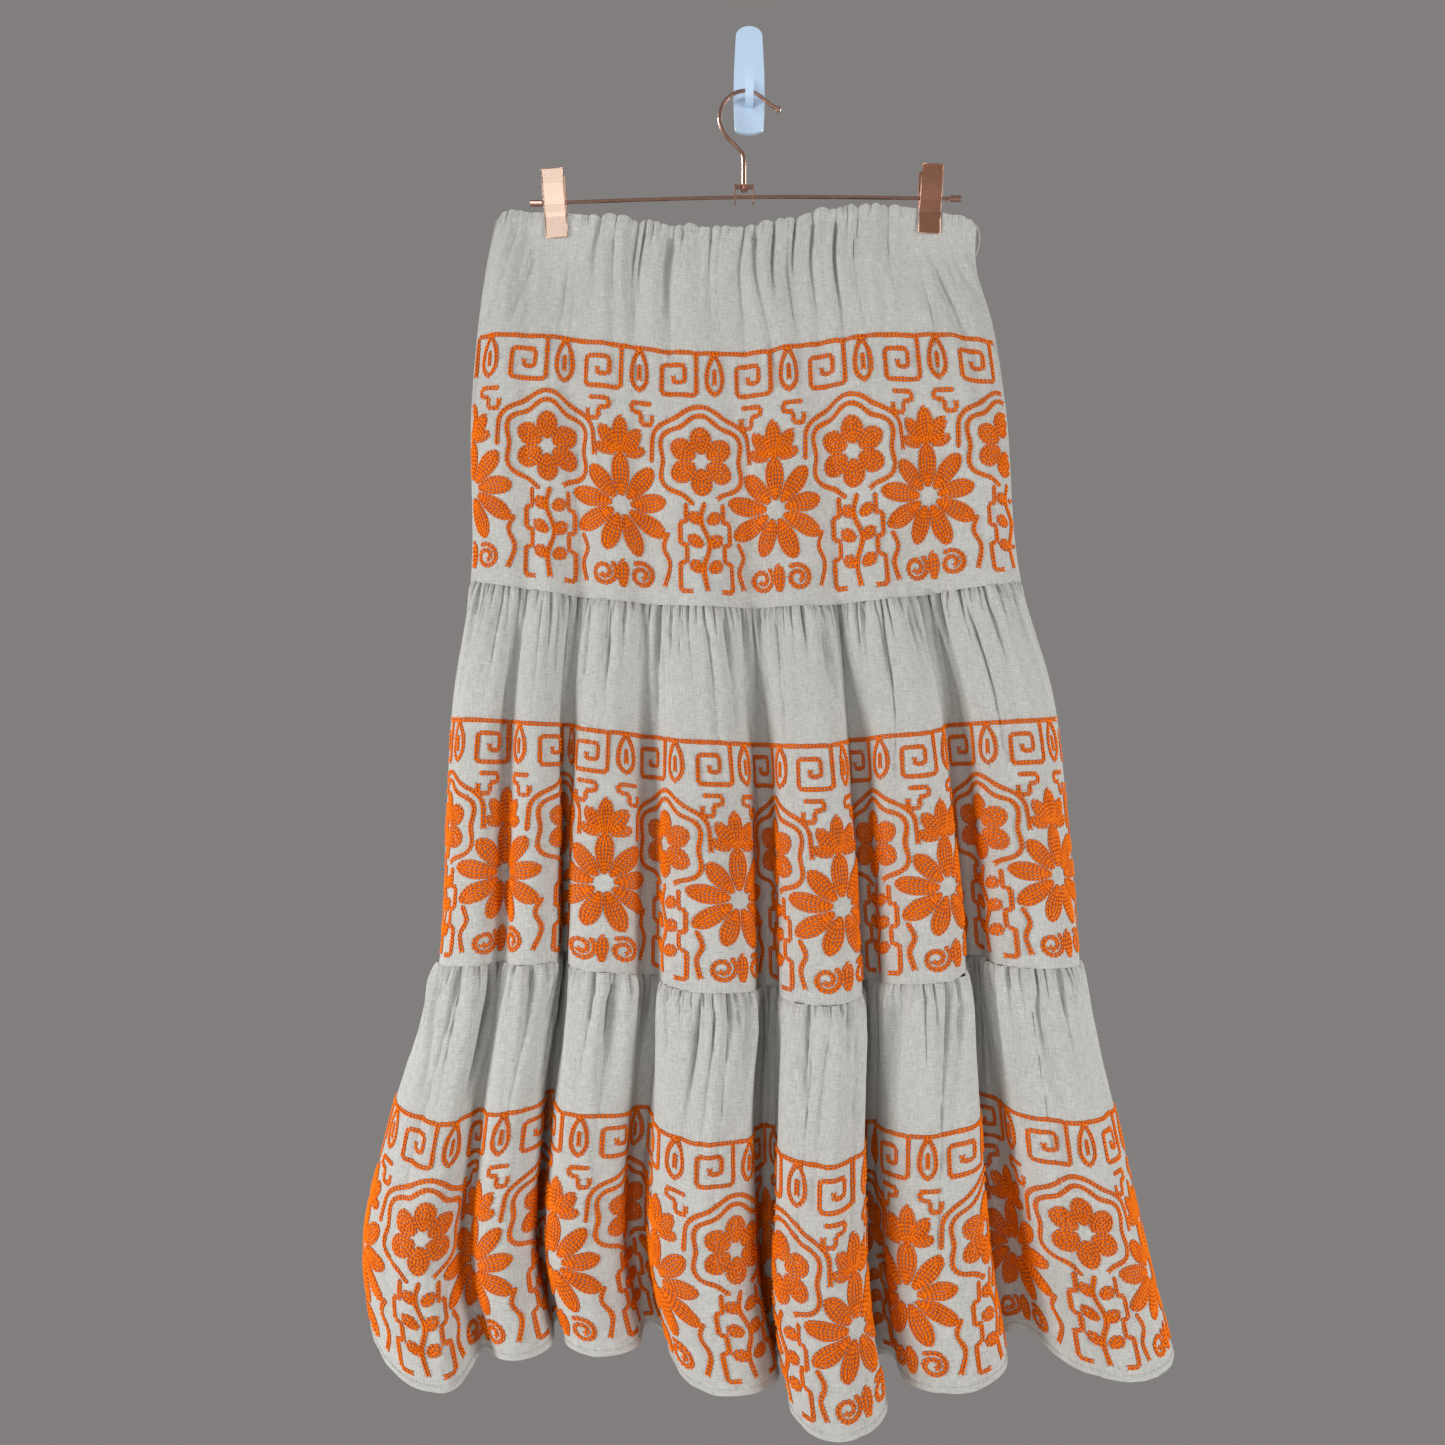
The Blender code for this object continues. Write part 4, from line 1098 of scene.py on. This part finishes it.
def embroider(panel, spots, material):
    """The border on one panel, as one mesh of raised stitches."""
    chance = np.random.default_rng(STITCH_SEED + seed_of(panel.tier, panel.half))
    repeats, first, top, height = BANDS[panel.tier]
    start = first + (repeats if panel.half == "back" else 0.0)
    every = []
    for k in range(int(repeats) + 2):
        moved = spots.copy()
        moved[:, 0] += (k - start % 1.0) * REPEAT_WIDTH
        every.append(moved)
    every = np.concatenate(every)
    width = repeats * REPEAT_WIDTH
    every = every[(every[:, 0] > BORDER_MARGIN) & (every[:, 0] < width - BORDER_MARGIN)]
    x, y, lift = stitch_points(every, chance)
    share = x / width if panel.half == "front" else 1 - x / width
    below = top + y * height / REPEAT_HEIGHT
    points = panel.at(np.clip(share, LEAST_SHARE, 1 - LEAST_SHARE), below, lift + SHELL / 2)
    name = f"embroidery_{panel.tier}_{panel.half}"
    made = mesh_object(name, points, stitch_faces(len(every)), material)
    # The stitches' heights, which the thread's material turns into painted shade low down and a painted
    # highlight on their crests.
    rise = made.data.attributes.new("rise", "FLOAT", "POINT")
    rise.data.foreach_set("value", lift.astype(np.float32))
    return made


def dashes(name, panel, line, form, material):
    """A row of machine stitches on a panel, along a line on the flat cloth."""
    span = METRE * HALF_WIDTH[panel.tier]
    spots = evenly(np.array(line, float), form.pitch)
    dash = np.array(DASH)
    along = dash[:, 0] * form.length / 2
    across = dash[:, 1] * form.width / 2
    x, y = laid(spots, along, across)
    lift = np.broadcast_to(form.base + form.height * dash[:, 2], x.shape)
    share = np.clip(x.reshape(-1) / span, 0, 1)
    points = panel.at(share, y.reshape(-1), lift.reshape(-1))
    one = np.array(DASH_FACES)
    if panel.half == "back":
        one = one[:, ::-1]
    faces = repeated(one, len(spots), len(DASH))
    return mesh_object(name, points, faces, material)


def side_seam(panel, material):
    """The seam's stitches, which show on the front at the right, and on the back at the other side."""
    span = METRE * HALF_WIDTH[panel.tier]
    x = span - SIDE_SEAM_INSET if panel.half == "front" else SIDE_SEAM_INSET
    line = [(x, SIDE_SEAM_TOP), (x, TIER_HEIGHT - SIDE_SEAM_FOOT)]
    return dashes(f"side_seam_{panel.tier}_{panel.half}", panel, line, SEAM_STITCH, material)


def panel_rows(tier, half):
    """The rows of a panel's grid, with the casing's and the hem fold's own rows among them."""
    rows = TIER_HEIGHT * np.linspace(0, 1, GRIDS[tier, half][1]) ** ROW_CROWDING
    if tier == "tier_1":
        rows = np.concatenate([CASING_ROWS, rows[rows > CASING_HEIGHT + ROW_ROOM]])
    if tier == "tier_3":
        fold = TIER_HEIGHT - HEM_FOLD * np.array(HEM_ROWS)
        rows = np.concatenate([rows[rows < TIER_HEIGHT - HEM_FOLD - ROW_ROOM], fold])
    return rows


def build_panels(linen, thread, sewing):
    spots = np.concatenate([evenly(line, STITCH_PITCH) for line in border_lines()])
    for tier in TIERS:
        for half in HALVES:
            belows = panel_rows(tier, half)
            panel = Panel(tier, half, belows, np.linspace(0, 1, GRIDS[tier, half][0] + 1))
            casing_end = int(np.searchsorted(belows, CASING_HEIGHT))
            first = casing_end if tier == "tier_1" else 0
            last = len(belows) - 1
            made = cloth_object(f"cloth_{tier}_{half}", panel, first, last, linen)
            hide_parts(f"{tier}_{half}")
            trim = [embroider(panel, spots, thread), side_seam(panel, sewing)]
            if tier == "tier_1":
                name = f"casing_{half}"
                casing = cloth_object(
                    name, panel, 0, casing_end, linen, lift=CASING_LIFT, thickness=CASING_THICKNESS
                )
                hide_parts(f"waist_casing_{half}")
                trim.append(casing)
            if tier == "tier_3":
                name = f"hem_fold_{half}"
                fold_start = last - len(HEM_ROWS) + 1
                fold = cloth_object(
                    name, panel, fold_start, last, linen, lift=HEM_LIFT, thickness=HEM_THICKNESS
                )
                trim.append(fold)
                below = TIER_HEIGHT - HEM_STITCH_ABOVE
                right = METRE * HALF_WIDTH[tier] - HEM_STITCH_INSET
                line = [(HEM_STITCH_INSET, below), (right, below)]
                trim.append(dashes(f"hem_stitches_{half}", panel, line, HEM_STITCH, sewing))


# The hanger and the wall hook keep their solids, with finer surfaces.


def dress(nodes, material, names):
    for name in names:
        node = nodes[name]
        node.data.materials.clear()
        node.data.materials.append(material)


def build_hardware(sewing):
    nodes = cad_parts
    # The left clip's plates get a lighter copy of the rose gold, a painted highlight, and the right
    # clip's a darker copy, painted shade.
    pale, dark = COLORS["painted_highlight_rose_gold"], COLORS["painted_shade_rose_gold"]
    rosy = shade(COLORS["rose_gold"], 0.86)
    satin = metal_material("champagne_satin", pale, 0.42, (900.0, 900.0, 900.0), 0.5, 0.7)
    bright = metal_material("rose_gold_bright", rosy, 0.22, (300.0, 300.0, 300.0))
    painted_shade_rose_gold = metal_material("rose_gold_shaded", dark, 0.32, (220.0, 220.0, 1400.0))
    plastic = plastic_material()
    dress(nodes, satin, ("clip_left_front", "clip_left_back"))
    dress(nodes, painted_shade_rose_gold, ("clip_right_front", "clip_right_back"))
    wires = ("hanger_bar", "hanger_hook", "hook_saddle", "bar_cap_left", "bar_cap_right")
    dress(nodes, bright, wires)
    for clip in CLIPS:
        clip_rim(clip, 1, bright)
        clip_rim(clip, -1, bright)
        clip_coil(clip, bright)
    dress(nodes, plastic, ("wall_hook",))
    route = [(x, LOOSE_THREAD_DEPTH, z) for x, z in rounded(LOOSE_THREAD)]
    tube("loose_thread", route, LOOSE_THREAD_RADIUS, sewing)


def tube(name, points, radius, material, closed=False):
    """A round wire through points, each an X, a depth and a Z."""
    curve = bpy.data.curves.new(name, "CURVE")
    curve.dimensions = "3D"
    curve.bevel_depth = radius * MM
    curve.bevel_resolution = 2
    curve.use_fill_caps = True
    spline = curve.splines.new("POLY")
    spline.points.add(len(points) - 1)
    for spot, (x, depth, z) in zip(spline.points, points):
        spot.co = (x * MM, -depth * MM, z * MM, 1.0)
    spline.use_cyclic_u = closed
    spline.use_smooth = True
    curve.materials.append(material)
    drawn = bpy.data.objects.new(name, curve)
    bpy.context.collection.objects.link(drawn)
    bpy.context.view_layer.update()
    evaluated = drawn.evaluated_get(bpy.context.evaluated_depsgraph_get())
    mesh = bpy.data.meshes.new_from_object(evaluated)
    bpy.data.objects.remove(drawn, do_unlink=True)
    return riding(name, mesh)


def on_clip(clip, across, depth, up):
    """A place in the model's frame from one on a clip, which leans about the bar."""
    lean = math.radians(clip.lean)
    x = clip.x + across * math.cos(lean) - up * math.sin(lean)
    z = clip.z + across * math.sin(lean) + up * math.cos(lean)
    return (x, depth, z)


def clip_rim(clip, sign, material):
    """The bright rolled edge round a clip's plate."""
    half = CLIP_WIDTH / 2 - RIM_INSET
    side = [(up, HANGER_DEPTH + sign * (inner + CLIP_SHEET - RIM_INSET)) for up, inner in CLIP_PROFILE]
    up_left = [on_clip(clip, -half, depth, up) for up, depth in side]
    down_right = [on_clip(clip, half, depth, up) for up, depth in reversed(side)]
    which = "front" if sign > 0 else "back"
    name = f"clip_{clip.name}_{which}_rim"
    tube(name, up_left + down_right, RIM_RADIUS, material, closed=True)


def clip_coil(clip, material):
    """The coil spring round the bar, between a clip's plates."""
    steps = COIL_STEPS * COIL_TURNS
    points = []
    for i in range(steps + 1):
        turn = 2 * math.pi * COIL_TURNS * i / steps
        across = COIL_LENGTH * (i / steps - 0.5)
        up = COIL_RADIUS * math.cos(turn)
        points.append(on_clip(clip, across, HANGER_DEPTH + COIL_RADIUS * math.sin(turn), up))
    made = tube(f"coil_{clip.name}", points, COIL_WIRE, material)
    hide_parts(f"clip_{clip.name}_spring")


def area_light(light):
    data = bpy.data.lights.new(light.name, "AREA")
    data.energy = light.power
    data.shape = "DISK"
    data.size = light.size
    data.color = WHITE
    made = bpy.data.objects.new(light.name, data)
    bpy.context.collection.objects.link(made)
    made.location = light.place
    look = [b - a for a, b in zip(light.place, light.target)]
    flat = math.hypot(look[0], look[1])
    tilt = math.pi / 2 + math.atan2(look[2], flat)
    turn = math.atan2(look[1], look[0]) - math.pi / 2
    made.rotation_euler = (tilt, 0.0, turn)


def build_stage():
    bpy.ops.mesh.primitive_plane_add(size=FLOOR_SIZE, location=FLOOR_PLACE)
    floor = bpy.context.object
    floor.name = "floor"
    pale = Nodes("pale_floor", 0.9)
    place = pale.place()
    faint = pale.noise(place, 6.0, 2.0)
    tone = pale.ramp(faint, ((0.3, (0.46, 0.45, 0.44)), (0.7, (0.50, 0.49, 0.48))))
    pale.set("Base Color", tone)
    floor.data.materials.append(pale.material)
    world = bpy.data.worlds.new("studio")
    bpy.context.scene.world = world
    world.use_nodes = True
    background = world.node_tree.nodes["Background"]
    background.inputs["Color"].default_value = WORLD_COLOR
    background.inputs["Strength"].default_value = WORLD_STRENGTH
    for light in LIGHTS:
        area_light(light)
    bpy.context.scene.view_settings.view_transform = "Standard"


make_camera()
sewing_thread = hem_thread_material()
build_panels(linen_material(), thread_material(), sewing_thread)
build_hardware(sewing_thread)
build_stage()
